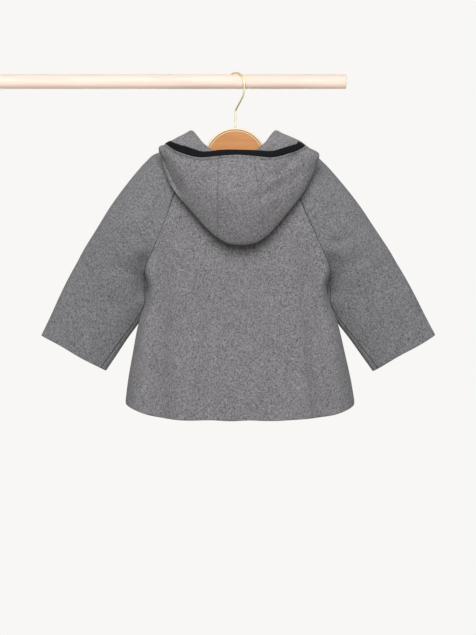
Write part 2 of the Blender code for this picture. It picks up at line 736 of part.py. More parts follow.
def add_hook():
    """A brass wire hook, turned about its shank so that it passes in front of the rod and over it."""
    turn = math.radians(HOOK_TURN_DEG)
    line = bpy.data.curves.new("hook", "CURVE")
    line.dimensions = "3D"
    line.bevel_depth = HOOK_WIRE_RADIUS * MM
    line.bevel_resolution = 2
    line.use_fill_caps = True
    spline = line.splines.new("POLY")
    points = hook_points()
    spline.points.add(len(points) - 1)
    for point, (side, _, z) in zip(spline.points, points):
        point.co = (side * math.cos(turn) * MM, -side * math.sin(turn) * MM, z * MM, 1.0)
    line.materials.append(material_of("brass"))
    hook = bpy.data.objects.new("hook", line)
    bpy.context.scene.collection.objects.link(hook)


def add_rod():
    """The round rod that the hanger hooks over, with a small chamfer at each end."""
    length = ROD_RIGHT - ROD_LEFT
    profile = (
        (0.0, ROD_RADIUS - ROD_CHAMFER),
        (ROD_CHAMFER, ROD_RADIUS),
        (length - ROD_CHAMFER, ROD_RADIUS),
        (length, ROD_RADIUS - ROD_CHAMFER),
    )
    add_turned("rod", profile, (ROD_LEFT, 0, 0), (1, 0, 0), "rod_wood", 36)


def main():
    for thing in list(bpy.data.objects):
        bpy.data.objects.remove(thing)
    add_rod()
    add_hook()
    add_hanger()
    grids = add_coat_body()
    add_hood(grids)
    add_buttons(grids)


main()
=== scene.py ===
import math

import bpy
import numpy as np
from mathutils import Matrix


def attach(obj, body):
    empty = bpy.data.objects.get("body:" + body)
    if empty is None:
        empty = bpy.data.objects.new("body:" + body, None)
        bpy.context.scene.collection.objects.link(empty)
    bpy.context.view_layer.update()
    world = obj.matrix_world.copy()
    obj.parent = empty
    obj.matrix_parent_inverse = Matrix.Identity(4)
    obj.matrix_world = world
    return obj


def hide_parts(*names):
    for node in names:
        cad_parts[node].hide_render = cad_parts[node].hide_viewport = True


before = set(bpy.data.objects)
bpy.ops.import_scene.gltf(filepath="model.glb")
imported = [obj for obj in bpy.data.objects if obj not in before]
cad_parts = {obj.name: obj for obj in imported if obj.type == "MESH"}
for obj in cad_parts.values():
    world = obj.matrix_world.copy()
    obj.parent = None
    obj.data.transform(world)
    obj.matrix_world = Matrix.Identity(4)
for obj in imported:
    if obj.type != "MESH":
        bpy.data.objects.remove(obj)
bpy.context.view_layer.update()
print("frame loaded,", len(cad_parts), "nodes")

mm = 0.001
cloth = {"wall": 2.4, "seamGap": 0.14, "hoodSeamGap": 0.05, "creaseLimit": 0.4, "sharpDeg": 50.0}
sewing = {
    "seamRoll": 0.75,
    "edgeRoll": 1.15,
    # base width of the painted seam shade, its limit on the body panels and its overall limit
    "paintedSeamShade": 1.4,
    "bodyShadeLimit": 0.9,
    "shadeLimit": 2.5,
    # z, how dark the painted shade beside the seam is there and how far the seam rolls
    "seamShadeAndRoll": [
        (-100, 1.6, 1.0),
        (-180, 1.5, 1.0),
        (-222, 0.95, 0.95),
        (-248, 0.4, 0.4),
        (-262, 0.6, 0.12),
        (-272, 2.2, 0.12),
        (-294, 2.4, 0.12),
        (-316, 1.0, 0.12),
        (-330, 0.9, 0.8),
        (-510, 0.8, 0.8),
    ],
}
lean = {"slope": 0.0237, "levelZ": -189.0}  # the coat hangs a little off straight


# eases from 0 to 1 as value runs from 0 to 1: 3v^2 - 2v^3
def ease(value):
    v = np.clip(value, 0, 1)
    return v * v * (3 - 2 * v)


# a cubic through values at the given places, each slope the weighted mean of its two neighbours
def through(values, at, places=None):
    values = np.asarray(values, float)
    places = np.arange(len(values), dtype=float) if places is None else places
    at = np.asarray(at, float)
    upright = (-1,) + (1,) * (values.ndim - 1)
    gap = np.diff(places).reshape(upright)
    rise = np.diff(values, axis=0) / gap
    inner = (rise[:-1] * gap[1:] + rise[1:] * gap[:-1]) / (gap[1:] + gap[:-1])
    slope = np.concatenate([rise[:1], inner, rise[-1:]])
    low = np.clip(np.searchsorted(places, at, side="right") - 1, 0, len(values) - 2)
    span = (places[low + 1] - places[low]).reshape(upright)
    f = (at - places[low]).reshape(upright) / span
    return (
        values[low] * (2 * f**3 - 3 * f**2 + 1)
        + slope[low] * span * (f**3 - 2 * f**2 + f)
        + values[low + 1] * (3 * f**2 - 2 * f**3)
        + slope[low + 1] * span * (f**3 - f**2)
    )


# length along a line of points, from 0 at its first
def runAlong(points, axis=0):
    step = np.linalg.norm(np.diff(points, axis=axis), axis=-1)
    first = np.zeros_like(np.take(step, [0], axis=axis))
    return np.concatenate([first, np.cumsum(step, axis=axis)], axis=axis)


# points at these shares of a line's length, straight between its corners
def alongLine(points, shares):
    run = runAlong(points)
    return np.stack([np.interp(shares, run / run[-1], points[:, k]) for k in range(3)], axis=1)


# unit vectors
def unit(vectors):
    return vectors / np.linalg.norm(vectors, axis=-1, keepdims=True)


# 1 in the middle, falling to 0 at share 1 with an upright end: sqrt(1 - |s|^power)
def rounded(share, power):
    return np.sqrt(np.clip(1 - np.abs(share) ** power, 0, 1))


# the coat's lean: x moves by slope times the drop below the level where it hangs true
def leaned(points):
    moved = np.array(points, float)
    moved[..., 0] += lean["slope"] * (lean["levelZ"] - moved[..., 2])
    return moved


# the other side of the coat, with its columns turned round so that it still faces out
def mirrored(grid):
    return grid[:, ::-1] * np.array([-1, 1, 1])


# normals of a grid: down the rows crossed with along the columns
def normalsOf(grid, closedFrom=None):
    down = np.gradient(grid, axis=0)
    across = np.gradient(grid, axis=1)
    if closedFrom is not None:
        joined = (grid[closedFrom:, 1] - grid[closedFrom:, -2]) / 2
        across[closedFrom:, 0] = joined
        across[closedFrom:, -1] = joined
    return unit(np.cross(down, across))


# two sewn edges share the mean of their normals, except in a deep crease
def shareNormals(first, second):
    level = np.sum(first * second, axis=1) > cloth["creaseLimit"]
    both = unit(first[level] + second[level])
    first[level] = both
    second[level] = both


# a rolled edge: a quarter circle that drops by radius at distance 0 and is level from distance radius on
def rolledEdge(distance, radius):
    near = np.clip(radius - distance, 0, radius)
    return radius - np.sqrt(radius**2 - near**2)


# a bell curve: exp(-(distance / width)^2)
def bell(distance, width):
    return np.exp(-((distance / width) ** 2))


# x rate, z rate and phase of each slow wave, how far a seed sets them apart, and the level of their sum
slowWaves = {
    "waves": [
        (0.071, 0.023, 0.3),
        (-0.052, 0.047, 1.7),
        (0.031, 0.083, 4.1),
        (0.113, -0.036, 2.6),
        (0.022, 0.061, 5.2),
    ],
    "apart": 1.3,
    "level": 2.2,
}


# slow unevenness of hung cloth: size times the sum of sin(a x + b z + c) over its level
def uneven(x, z, size, seed):
    waves = enumerate(slowWaves["waves"])
    total = sum(np.sin(a * x + b * z + c + seed * (i + slowWaves["apart"])) for i, (a, b, c) in waves)
    return size * total / slowWaves["level"]


# share along a line between two points, and distance off it where it is bent by a parabola of height bend
def lineShares(x, z, fromX, fromZ, toX, toZ, bend):
    runX, runZ = toX - fromX, toZ - fromZ
    size = math.hypot(runX, runZ)
    share = ((x - fromX) * runX + (z - fromZ) * runZ) / size**2
    off = ((x - fromX) * runZ - (z - fromZ) * runX) / size
    return share, off - bend * 4 * share * (1 - share)


# how creases and facets fade at their ends: over what share of their length, and how strong they start
fading = {"crease": 0.3, "creaseStart": 0.2, "facetIn": 0.25, "facetStart": 0.3, "facetOut": 0.4}


# listed soft troughs: depth times a bell curve across a bent line, fading at both ends
def creasePush(creases, x, z):
    push = np.zeros_like(x)
    for *line, width, depth in creases:
        share, off = lineShares(x, z, *line)
        start = ease(share / fading["crease"] + fading["creaseStart"])
        end = ease((1 - share) / fading["crease"] + fading["creaseStart"])
        push += depth * bell(off, width) * start * end
    return push


# listed facets: cloth to one side of a bent line turns away, by depth times tanh of a soft ramp over reach
def facetPush(facets, x, z):
    push = np.zeros_like(x)
    for *line, width, reach, depth in facets:
        share, off = lineShares(x, z, *line)
        ramp = (off + np.sqrt(off**2 + width**2)) / 2
        start = ease(share / fading["facetIn"] + fading["facetStart"])
        push += depth * np.tanh(ramp / reach) * start * ease((1 - share) / fading["facetOut"])
    return push


# turns vertices and quads into an object at the origin, facing out by the sign of its volume
def meshObject(name, points, quads, material, attributes=None):
    used, quads = np.unique(quads, return_inverse=True)
    quads = quads.reshape(-1, 4)
    points = points[used] * mm
    a, b, c, d = (points[quads[:, k]] for k in range(4))
    volume = np.sum(a * np.cross(b, c)) + np.sum(a * np.cross(c, d))
    quads = quads[:, ::-1] if volume < 0 else quads
    mesh = bpy.data.meshes.new(name)
    mesh.vertices.add(len(points))
    mesh.vertices.foreach_set("co", points.astype(np.float32).ravel())
    mesh.loops.add(quads.size)
    mesh.loops.foreach_set("vertex_index", quads.astype(np.int32).ravel())
    mesh.polygons.add(len(quads))
    mesh.polygons.foreach_set("loop_start", np.arange(0, quads.size, 4, dtype=np.int32))
    mesh.polygons.foreach_set("loop_total", np.full(len(quads), 4, dtype=np.int32))
    mesh.update(calc_edges=True)
    mesh.validate()
    for title, values in (attributes or {}).items():
        layer = mesh.attributes.new(title, "FLOAT", "POINT")
        layer.data.foreach_set("value", values.reshape(-1)[used].astype(np.float32))
    mesh.materials.append(material)
    mesh.shade_smooth()
    piece = bpy.data.objects.new(name, mesh)
    bpy.context.scene.collection.objects.link(piece)
    return piece


# quads between neighbouring rows and columns of an index grid, or of a stack of grids
def quadsOf(index):
    corners = [index[..., :-1, :-1], index[..., :-1, 1:], index[..., 1:, 1:], index[..., 1:, :-1]]
    return np.stack(corners, axis=-1).reshape(-1, 4)


# quads of closed rings: an index grid with its first column put again after its last
def ringQuads(shape):
    index = np.arange(math.prod(shape)).reshape(shape)
    return quadsOf(np.concatenate([index, index[..., :1]], axis=-1))


# circles across a path: centre + radius (first cos a + second sin a)
def circleRings(path, first, second, radius, sides):
    angle = np.linspace(0, 2 * math.pi, sides, endpoint=False)[:, None]
    circle = first[..., None, :] * np.cos(angle) + second[..., None, :] * np.sin(angle)
    return path[..., None, :] + circle * np.asarray(radius)[..., None, None]


# a cloth wall: an outer and an inner grid joined round their edges
def wallObject(name, outer, inner, material, closedFrom, tone):
    rows, columns = outer.shape[:2]
    index = np.arange(rows * columns).reshape(rows, columns)
    if closedFrom is not None:
        index[closedFrom:, -1] = index[closedFrom:, 0]
    under = index + rows * columns
    stop = rows if closedFrom is None else closedFrom + 1
    rim = [
        np.stack([index[0, ::-1], under[0, ::-1]]),
        np.stack([index[-1], under[-1]]),
        np.stack([index[:stop, 0], under[:stop, 0]]),
        np.stack([index[:stop, -1][::-1], under[:stop, -1][::-1]]),
    ]
    quads = [quadsOf(index), quadsOf(under)[:, ::-1]] + [quadsOf(edge)[:, ::-1] for edge in rim]
    points = np.concatenate([outer.reshape(-1, 3), inner.reshape(-1, 3)])
    # the outer face carries the painted shade of the seams and stitch lines; the inner face has none
    values = {"paintedSeamShade": np.concatenate([tone.ravel(), np.zeros(rows * columns)])}
    piece = meshObject(name, points, np.concatenate(quads), material, values)
    piece.data.set_sharp_from_angle(angle=math.radians(cloth["sharpDeg"]))
    return piece


# closed profiles carried along a path, or a stack of them: rings joined in turn, each end filled by a collapsed ring
def sweptObject(name, rings, material, attributes=None):
    middles = rings[..., [0, -1], :, :].mean(axis=-2, keepdims=True)
    ends = np.repeat(middles, rings.shape[-2], axis=-2)
    points = np.concatenate([ends[..., :1, :, :], rings, ends[..., 1:, :, :]], axis=-3)
    wide = {title: np.concatenate([v[:1], v, v[-1:]]) for title, v in (attributes or {}).items()}
    return meshObject(name, points.reshape(-1, 3), ringQuads(points.shape[:-1]), material, wide)


# puts a piece on the one body, and hides the node that it stands for
def enter(piece, node=None):
    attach(piece, "root")
    if node:
        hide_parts(node)


# prints the size of a sheet measured on its grid: longest row, longest column and area
def printCut(name, grid, down):
    width, length = runAlong(grid, axis=1)[:, -1].max() * mm, down[-1].max() * mm
    print(name, "cut", round(width, 3), "by", round(length, 3), "area", round(areaOf(grid), 4))


# node groups and materials

fullTurn = 6.283


# adds a node with its socket values
def addNode(tree, kind, values=None, **settings):
    node = tree.nodes.new(kind)
    for key, value in settings.items():
        setattr(node, key, value)
    for key, value in (values or {}).items():
        node.inputs[key].default_value = value
    return node


# a new node group with float or vector inputs and named outputs
def newGroup(name, inputs, outputs):
    group = bpy.data.node_groups.new(name, "ShaderNodeTree")
    for title, kind, value in inputs:
        socket = group.interface.new_socket(name=title, in_out="INPUT", socket_type=kind)
        if value is not None:
            socket.default_value = value
    for title, kind in outputs:
        group.interface.new_socket(name=title, in_out="OUTPUT", socket_type=kind)
    return group, group.nodes.new("NodeGroupInput"), group.nodes.new("NodeGroupOutput")


# one math node on up to three values or sockets
def mathNode(tree, operation, first, second=None, third=None, clamp=False):
    node = tree.nodes.new("ShaderNodeMath")
    node.operation = operation
    node.use_clamp = clamp
    for k, value in enumerate((first, second, third)):
        if value is None:
            continue
        if isinstance(value, (int, float)):
            node.inputs[k].default_value = value
        else:
            tree.links.new(value, node.inputs[k])
    return node.outputs[0]


# a noise texture on a vector socket
def noiseNode(tree, vector, scale, detail=2.0, rough=0.5, stretch=None):
    if stretch is not None:
        mapping = addNode(tree, "ShaderNodeMapping", {"Scale": stretch})
        tree.links.new(vector, mapping.inputs["Vector"])
        vector = mapping.outputs["Vector"]
    noise = addNode(tree, "ShaderNodeTexNoise", {"Detail": detail, "Roughness": rough})
    tree.links.new(vector, noise.inputs["Vector"])
    if isinstance(scale, (int, float)):
        noise.inputs["Scale"].default_value = scale
    else:
        tree.links.new(scale, noise.inputs["Scale"])
    return noise.outputs["Fac"]


# scale, detail, roughness and stretch of each noise, and how much of it is in the height
feltLook = {
    "fibreA": (760.0, 3.0, 0.6, (1.0, 1.0, 0.35)),
    "fibreB": (820.0, 3.0, 0.6, (0.35, 1.0, 1.0)),
    "fleck": (410.0, 2.0, 0.55),
    "cloud": (38.0, 3.0, 0.55),
    "fibreHeight": 0.5,
    "fleckHeight": 0.6,
}


# felted melange: fibres, flecks and slow clouds added about one half; height is fibres and flecks
def makeFeltGroup():
    strengths = [(title, "NodeSocketFloat", 1.0) for title in ("Fibre", "Fleck", "Cloud")]
    group, start, end = newGroup(
        "feltMelange",
        [("Vector", "NodeSocketVector", None)] + strengths,
        [("Tone", "NodeSocketFloat"), ("Height", "NodeSocketFloat")],
    )
    vector = start.outputs["Vector"]
    fibreA, fibreB, fleck, cloud = (
        noiseNode(group, vector, *feltLook[key]) for key in ("fibreA", "fibreB", "fleck", "cloud")
    )
    fibres = mathNode(group, "ADD", fibreA, fibreB)
    tone = 0.5
    for title, noise, middle in (("Fibre", fibres, 1.0), ("Fleck", fleck, 0.5), ("Cloud", cloud, 0.5)):
        off = mathNode(group, "SUBTRACT", noise, middle)
        tone = mathNode(group, "MULTIPLY_ADD", off, start.outputs[title], tone)
    tone = mathNode(group, "MINIMUM", tone, 1.0)
    group.links.new(mathNode(group, "MAXIMUM", tone, 0.0), end.inputs["Tone"])
    height = mathNode(group, "MULTIPLY", fibres, feltLook["fibreHeight"])
    height = mathNode(group, "MULTIPLY_ADD", fleck, feltLook["fleckHeight"], height)
    group.links.new(height, end.inputs["Height"])
    return group


grainLook = {"slow": (2.0, 0.5, (0.08, 1.0, 1.0)), "pores": (900.0, 2.0, 0.6, (0.05, 1.0, 1.0))}


# long grain of wood: stretched noise, its lines sharpened by a sine of the noise
def makeGrainGroup():
    group, start, end = newGroup(
        "woodGrain",
        [
            ("Vector", "NodeSocketVector", None),
            ("Lines", "NodeSocketFloat", 9.0),
            ("Scale", "NodeSocketFloat", 60.0),
        ],
        [("Grain", "NodeSocketFloat"), ("Pore", "NodeSocketFloat")],
    )
    vector = start.outputs["Vector"]
    slow = noiseNode(group, vector, start.outputs["Scale"], *grainLook["slow"])
    pores = noiseNode(group, vector, *grainLook["pores"])
    rate = mathNode(group, "MULTIPLY", start.outputs["Lines"], fullTurn)
    lines = mathNode(group, "SINE", mathNode(group, "MULTIPLY", slow, rate))
    group.links.new(mathNode(group, "MULTIPLY_ADD", lines, 0.5, 0.5), end.inputs["Grain"])
    group.links.new(pores, end.inputs["Pore"])
    return group


# an empty node material with its tree, its Principled shader and its object coordinates
def newMaterial(name):
    material = bpy.data.materials.new(name)
    material.use_nodes = True
    tree = material.node_tree
    place = tree.nodes.new("ShaderNodeTexCoord").outputs["Object"]
    return material, tree, tree.nodes["Principled BSDF"], place


# a node group fed with object coordinates
def groupNode(tree, group, place, values):
    node = addNode(tree, "ShaderNodeGroup", node_tree=group)
    for key, value in values.items():
        node.inputs[key].default_value = value
    tree.links.new(place, node.inputs["Vector"])
    return node.outputs


# a named attribute of the mesh
def attributeNode(tree, name):
    return addNode(tree, "ShaderNodeAttribute", attribute_name=name).outputs["Fac"]


# gives a shader its colour and its roughness: value times gain plus base
def setLook(tree, shader, colour, value, gain, base):
    tree.links.new(colour, shader.inputs["Base Color"])
    tree.links.new(mathNode(tree, "MULTIPLY_ADD", value, gain, base), shader.inputs["Roughness"])


# gives a shader bump from a height
def setBump(tree, shader, height, strength, distance):
    bump = addNode(tree, "ShaderNodeBump", {"Strength": strength, "Distance": distance})
    tree.links.new(height, bump.inputs["Height"])
    tree.links.new(bump.outputs["Normal"], shader.inputs["Normal"])


# mixes two colours by a factor socket
def mixColour(tree, factor, first, second, blend="MIX"):
    node = tree.nodes.new("ShaderNodeMix")
    node.data_type = "RGBA"
    node.blend_type = blend
    sockets = {s.identifier: s for s in node.inputs}
    for key, value in (("Factor_Float", factor), ("A_Color", first), ("B_Color", second)):
        if isinstance(value, tuple):
            sockets[key].default_value = (*value, 1.0) if len(value) == 3 else value
        elif isinstance(value, (int, float)):
            sockets[key].default_value = value
        else:
            tree.links.new(value, sockets[key])
    return {s.identifier: s for s in node.outputs}["Result_Color"]


woolLook = {
    "body": {"dark": (0.065, 0.063, 0.066), "light": (0.375, 0.364, 0.378)},
    # the sleeves' copy is darker and a little bluer: painted shade for sleeves that turn down and out
    "sleeve": {"dark": (0.061, 0.061, 0.065), "light": (0.350, 0.346, 0.364)},
    "felt": {"Fibre": 1.4, "Fleck": 0.62, "Cloud": 0.2},
    "bump": (0.55, 0.0005),
    "rough": (0.08, 0.88),
    # strength and colour of the painted seam shade
    "seamShadeStrength": 0.2,
    "seamShadeColour": (0.012, 0.012, 0.013),
    "shader": {"Specular IOR Level": 0.15, "Sheen Weight": 0.12, "Sheen Roughness": 0.55},
}


# wool: tone from dark to light grey, with painted shade at the seams, the underarm notch and the stitch lines, with
# fibre bump and a soft sheen
def makeWool(name, look, felt):
    material, tree, shader, place = newMaterial(name)
    outputs = groupNode(tree, felt, place, woolLook["felt"])
    colour = mixColour(tree, outputs["Tone"], look["dark"], look["light"])
    # painted seam shade: the near-black shade colour mixed in by the attribute
    shade = mathNode(tree, "MULTIPLY", attributeNode(tree, "paintedSeamShade"), woolLook["seamShadeStrength"])
    colour = mixColour(tree, shade, colour, woolLook["seamShadeColour"])
    setLook(tree, shader, colour, outputs["Tone"], *woolLook["rough"])
    setBump(tree, shader, outputs["Height"], *woolLook["bump"])
    for key, value in woolLook["shader"].items():
        shader.inputs[key].default_value = value
    return material


tapeLook = {
    "dark": (0.003, 0.003, 0.0035),
    "light": (0.014, 0.014, 0.016),
    "felt": {"Fibre": 1.0, "Fleck": 0.8, "Cloud": 0.4},
    "ribTone": 0.18,
    "ribHeight": 0.3,
    "bump": (0.5, 0.0003),
    "rough": (0.15, 0.72),
    "specular": 0.08,
}


# black woven tape: felt with a fine rib, a sine of its own path coordinate
def makeTape(felt):
    material, tree, shader, place = newMaterial("blackTape")
    outputs = groupNode(tree, felt, place, tapeLook["felt"])
    rib = mathNode(tree, "SINE", mathNode(tree, "MULTIPLY", attributeNode(tree, "tapeRun"), fullTurn))
    tone = mathNode(tree, "MULTIPLY_ADD", rib, tapeLook["ribTone"], outputs["Tone"])
    colour = mixColour(tree, tone, tapeLook["dark"], tapeLook["light"])
    setLook(tree, shader, colour, outputs["Tone"], *tapeLook["rough"])
    height = mathNode(tree, "MULTIPLY_ADD", rib, tapeLook["ribHeight"], outputs["Height"])
    setBump(tree, shader, height, *tapeLook["bump"])
    shader.inputs["Specular IOR Level"].default_value = tapeLook["specular"]
    return material


threadLook = {
    "grey": ((0.10, 0.10, 0.105), (0.26, 0.26, 0.265)),
    "black": ((0.006, 0.006, 0.007), (0.03, 0.03, 0.032)),
    "noise": (2400.0, 2.0, 0.5),
    "rough": (0.2, 0.6),
    "bump": (0.4, 0.0001),
}


# thread: two shades mixed by a fine noise that also roughens it
def makeThread(name, shades):
    material, tree, shader, place = newMaterial(name)
    noise = noiseNode(tree, place, *threadLook["noise"])
    setLook(tree, shader, mixColour(tree, noise, *shades), noise, *threadLook["rough"])
    setBump(tree, shader, noise, *threadLook["bump"])
    return material


woodLook = {
    "honey": {
        "dark": (0.570, 0.226, 0.050),
        "light": (0.636, 0.263, 0.062),
        "pore": (0.505, 0.190, 0.038),
        "grain": {"Scale": 70.0, "Lines": 4.0},
        "rough": 0.34,
        # a painted highlight on the rounded rim and beside the groove, and painted shade in the groove
        "rim": {"rim": (0.95, 0.80, 0.56), "paintedGrooveShade": (0.30, 0.12, 0.035)},
    },
    "pale": {
        "dark": (0.87, 0.675, 0.565),
        "light": (0.92, 0.73, 0.62),
        "pore": (0.83, 0.62, 0.50),
        "grain": {"Scale": 90.0, "Lines": 3.0},
        "rough": 0.5,
        "ends": ((0.78, 0.60, 0.47), (0.90, 0.74, 0.61)),
    },
    "poreFrom": 0.55,
    "poreGain": 2.0,
    "poreRough": 0.2,
    "bump": (0.12, 0.0002),
    # the middle of the year rings on a cut end in metres, and how fast they follow each other
    "heart": {"Y": 0.004, "Z": 0.006},
    "ringRate": 5200.0,
}


# year rings on a cut end: two shades mixed by a sine of the distance from the heart
def ringShade(tree, place, shades):
    split = tree.nodes.new("ShaderNodeSeparateXYZ")
    tree.links.new(place, split.inputs[0])
    squares = [
        mathNode(tree, "POWER", mathNode(tree, "SUBTRACT", split.outputs[axis], middle), 2.0)
        for axis, middle in woodLook["heart"].items()
    ]
    radius = mathNode(tree, "SQRT", mathNode(tree, "ADD", *squares))
    rings = mathNode(tree, "SINE", mathNode(tree, "MULTIPLY", radius, woodLook["ringRate"]))
    return mixColour(tree, mathNode(tree, "MULTIPLY_ADD", rings, 0.5, 0.5), *shades)


# wood: light and dark grain and pores, with a painted highlight on the rim and painted shade in the groove, or ringed
# ends, where it has them
def makeWood(name, grain, look):
    material, tree, shader, place = newMaterial(name)
    outputs = groupNode(tree, grain, place, look["grain"])
    colour = mixColour(tree, outputs["Grain"], look["dark"], look["light"])
    deep = mathNode(tree, "SUBTRACT", outputs["Pore"], woodLook["poreFrom"], clamp=True)
    poreMask = mathNode(tree, "MULTIPLY", deep, woodLook["poreGain"], clamp=True)
    colour = mixColour(tree, poreMask, colour, look["pore"])
    # painted highlight and painted shade of the hanger's rim and groove
    for title, shade in look.get("rim", {}).items():
        colour = mixColour(tree, attributeNode(tree, title), colour, shade)
    if "ends" in look:
        rings = ringShade(tree, place, look["ends"])
        colour = mixColour(tree, attributeNode(tree, "cutEnd"), colour, rings)
    setLook(tree, shader, colour, outputs["Pore"], woodLook["poreRough"], look["rough"])
    setBump(tree, shader, outputs["Pore"], *woodLook["bump"])
    return material


brassLook = {
    "shades": ((0.80, 0.66, 0.36), (0.90, 0.80, 0.52)),
    "drawn": (1500.0, 2.0, 0.5, (1.0, 1.0, 0.05)),
    "tarnish": (90.0, 3.0, 0.6),
    "drawnRough": 0.15,
    "tarnishRough": (0.12, 0.18),
}


# brass: fine drawn lines and a slow tarnish in colour and roughness
def makeBrass():
    material, tree, shader, place = newMaterial("brassWire")
    drawn = noiseNode(tree, place, *brassLook["drawn"])
    tarnish = noiseNode(tree, place, *brassLook["tarnish"])
    base = mathNode(tree, "MULTIPLY_ADD", tarnish, *brassLook["tarnishRough"])
    colour = mixColour(tree, tarnish, *brassLook["shades"])
    setLook(tree, shader, colour, drawn, brassLook["drawnRough"], base)
    shader.inputs["Metallic"].default_value = 1.0
    return material


buttonShade = {
    "shades": ((0.008, 0.008, 0.009), (0.030, 0.029, 0.028)),
    "cloud": (260.0, 4.0, 0.6),
    "scratch": (1800.0, 2.0, 0.6, (1.0, 1.0, 0.1)),
    "rough": (0.2, 0.25),
}


# buttons: satin black with faint cloudy marbling and fine scratches in the roughness
def makeButtonLook():
    material, tree, shader, place = newMaterial("blackButton")
    cloud = noiseNode(tree, place, *buttonShade["cloud"])
    scratch = noiseNode(tree, place, *buttonShade["scratch"])
    setLook(tree, shader, mixColour(tree, cloud, *buttonShade["shades"]), scratch, *buttonShade["rough"])
    return material


feltGroup = makeFeltGroup()
grainGroup = makeGrainGroup()
woolBody = makeWool("woolBody", woolLook["body"], feltGroup)
woolSleeveShaded = makeWool("woolSleeveShaded", woolLook["sleeve"], feltGroup)
tape = makeTape(feltGroup)
greyThread = makeThread("greyThread", threadLook["grey"])
blackThread = makeThread("blackThread", threadLook["black"])
hangerWood = makeWood("honeyWood", grainGroup, woodLook["honey"])
rodWood = makeWood("paleWood", grainGroup, woodLook["pale"])
brass = makeBrass()
buttonLook = makeButtonLook()
print("materials made")


# the coat's panels

torso = {
    "rowsPerSection": 14,
    "backColumns": 140,
    "frontColumns": 78,
    "frontLap": 18.0,
    "lapEase": 30.0,
    "lapFlat": 16.0,
    "lapGap": 0.9,
    "sideRound": 4.0,
    "foldRound": 4.0,
    "seeds": {"back": 0.4, "over": 2.1, "under": 3.7},
    # the back turns in more sharply at the underarm: by how much, its level and height, and how much all the way
    "sideFlat": {"by": 20.0, "z": -299.0, "tall": 30.0, "always": 3.0},
    "underarm": 6,
    "foldFade": 90.0,
    # edgeX, edgeZ, middleZ, depth, share, bow, sideY from the neck to the hem
    "back": [
        (46.0, -113.0, -127.0, -30.0, 0.97, 2.0, 0.0),
        (71.0, -142.0, -151.0, -34.0, 0.98, 2.0, 0.0),
        (92.0, -171.5, -178.0, -37.0, 0.97, 2.0, 0.0),
        (110.3, -213.0, -217.0, -39.0, 0.95, 2.0, 0.0),
        (126.2, -249.5, -251.5, -40.0, 0.86, 2.0, 1.0),
        (138.5, -282.0, -283.0, -41.0, 0.55, 2.0, 3.0),
        (134.0, -309.0, -310.0, -42.0, 0.0, 2.2, 4.0),
        (138.5, -333.0, -336.0, -43.0, 0.0, 2.6, -1.0),
        (149.5, -363.0, -369.0, -45.0, 0.0, 3.2, -4.0),
        (160.0, -412.0, -423.0, -49.0, 0.0, 3.8, -3.0),
        (167.0, -447.0, -464.0, -52.0, 0.0, 4.2, -1.0),
        (172.5, -484.0, -505.5, -55.0, 0.0, 4.2, 0.0),
    ],
    "front": [
        (50.0, -121.0, -152.0, 32.0, 0.97, 2.0, 0.0),
        (76.0, -147.0, -168.0, 36.0, 0.98, 2.0, 0.0),
        (93.5, -174.0, -190.0, 39.0, 0.97, 2.0, 0.0),
        (110.5, -214.0, -222.0, 41.0, 0.95, 2.0, 0.0),
        (126.0, -250.0, -253.0, 42.0, 0.86, 2.0, 1.0),
        (138.5, -282.0, -283.0, 43.0, 0.55, 2.0, 3.0),
        (134.0, -309.0, -310.0, 44.0, 0.0, 2.2, 4.0),
        (138.5, -333.0, -336.0, 45.0, 0.0, 2.6, -1.0),
        (149.5, -363.0, -369.0, 47.0, 0.0, 3.2, -4.0),
        (160.0, -412.0, -423.0, 50.0, 0.0, 3.8, -3.0),
        (167.0, -447.0, -464.0, 52.0, 0.0, 4.2, -1.0),
        (172.5, -484.0, -505.5, 54.0, 0.0, 4.2, 0.0),
    ],
    # acrossX at the hem, drift by the top, width, depth, topZ
    "backFolds": [
        (-119.0, 7.0, 16.0, 13.5, -215.0),
        (-44.0, 10.0, 16.0, 4.4, -270.0),
        (52.0, -8.0, 20.0, 3.0, -330.0),
        (120.0, -19.0, 16.0, 13.0, -225.0),
    ],
    "frontFolds": [
        (-116.0, 8.0, 16.0, 4.0, -250.0),
        (-62.0, 12.0, 20.0, 2.4, -340.0),
        (66.0, -10.0, 20.0, 2.4, -330.0),
        (118.0, -8.0, 16.0, 4.0, -245.0),
    ],
    # fromX, fromZ, toX, toZ, bend, width, depth of the listed soft troughs
    "backCreases": [
        (-126.0, -290.0, -96.0, -345.0, 5.0, 10.0, 0.7),
        (125.0, -292.0, 98.0, -340.0, -5.0, 10.0, 0.6),
        (20.0, -400.0, 28.0, -506.0, 3.0, 16.0, 0.9),
    ],
    "frontCreases": [
        (-128.0, -288.0, -84.0, -350.0, 5.0, 9.0, 1.3),
        (128.0, -288.0, 84.0, -350.0, -5.0, 9.0, 1.3),
    ],
    "uneven": 0.35,
    # the hem's last rows: how far up they reach in sections, how far its corners round in, and its small waves
    "hemReach": 0.22,
    "cornerIn": 1.8,
    "cornerSharp": 24,
    "hemWave": 0.6,
    "hemWaveRun": (13.0, 1.3, 37.0),
    # extra rows above the hem in sections, and extra columns by the sewn and the free edges in shares
    "hemRows": (0.035, 0.021, 0.012, 0.005, 0.0),
    "backEdge": (0.0, 0.0022, 0.005, 0.009, 0.015),
    "backWithin": 0.98,
    "frontEdge": (0.0, 0.002, 0.0045, 0.008, 0.0135),
    "frontShut": (0.008, 0.0045, 0.002, 0.0),
    "frontWithin": (0.012, 0.982),
    "endDraw": 0.8,
    "seamBeside": 8,
    # the -X raglan seam lies further in: by how much, its level, height, width and depth
    "seamIn": {"by": 4.8, "z": -226.0, "tall": 62.0, "wide": 36.0, "deep": 20.0},
}


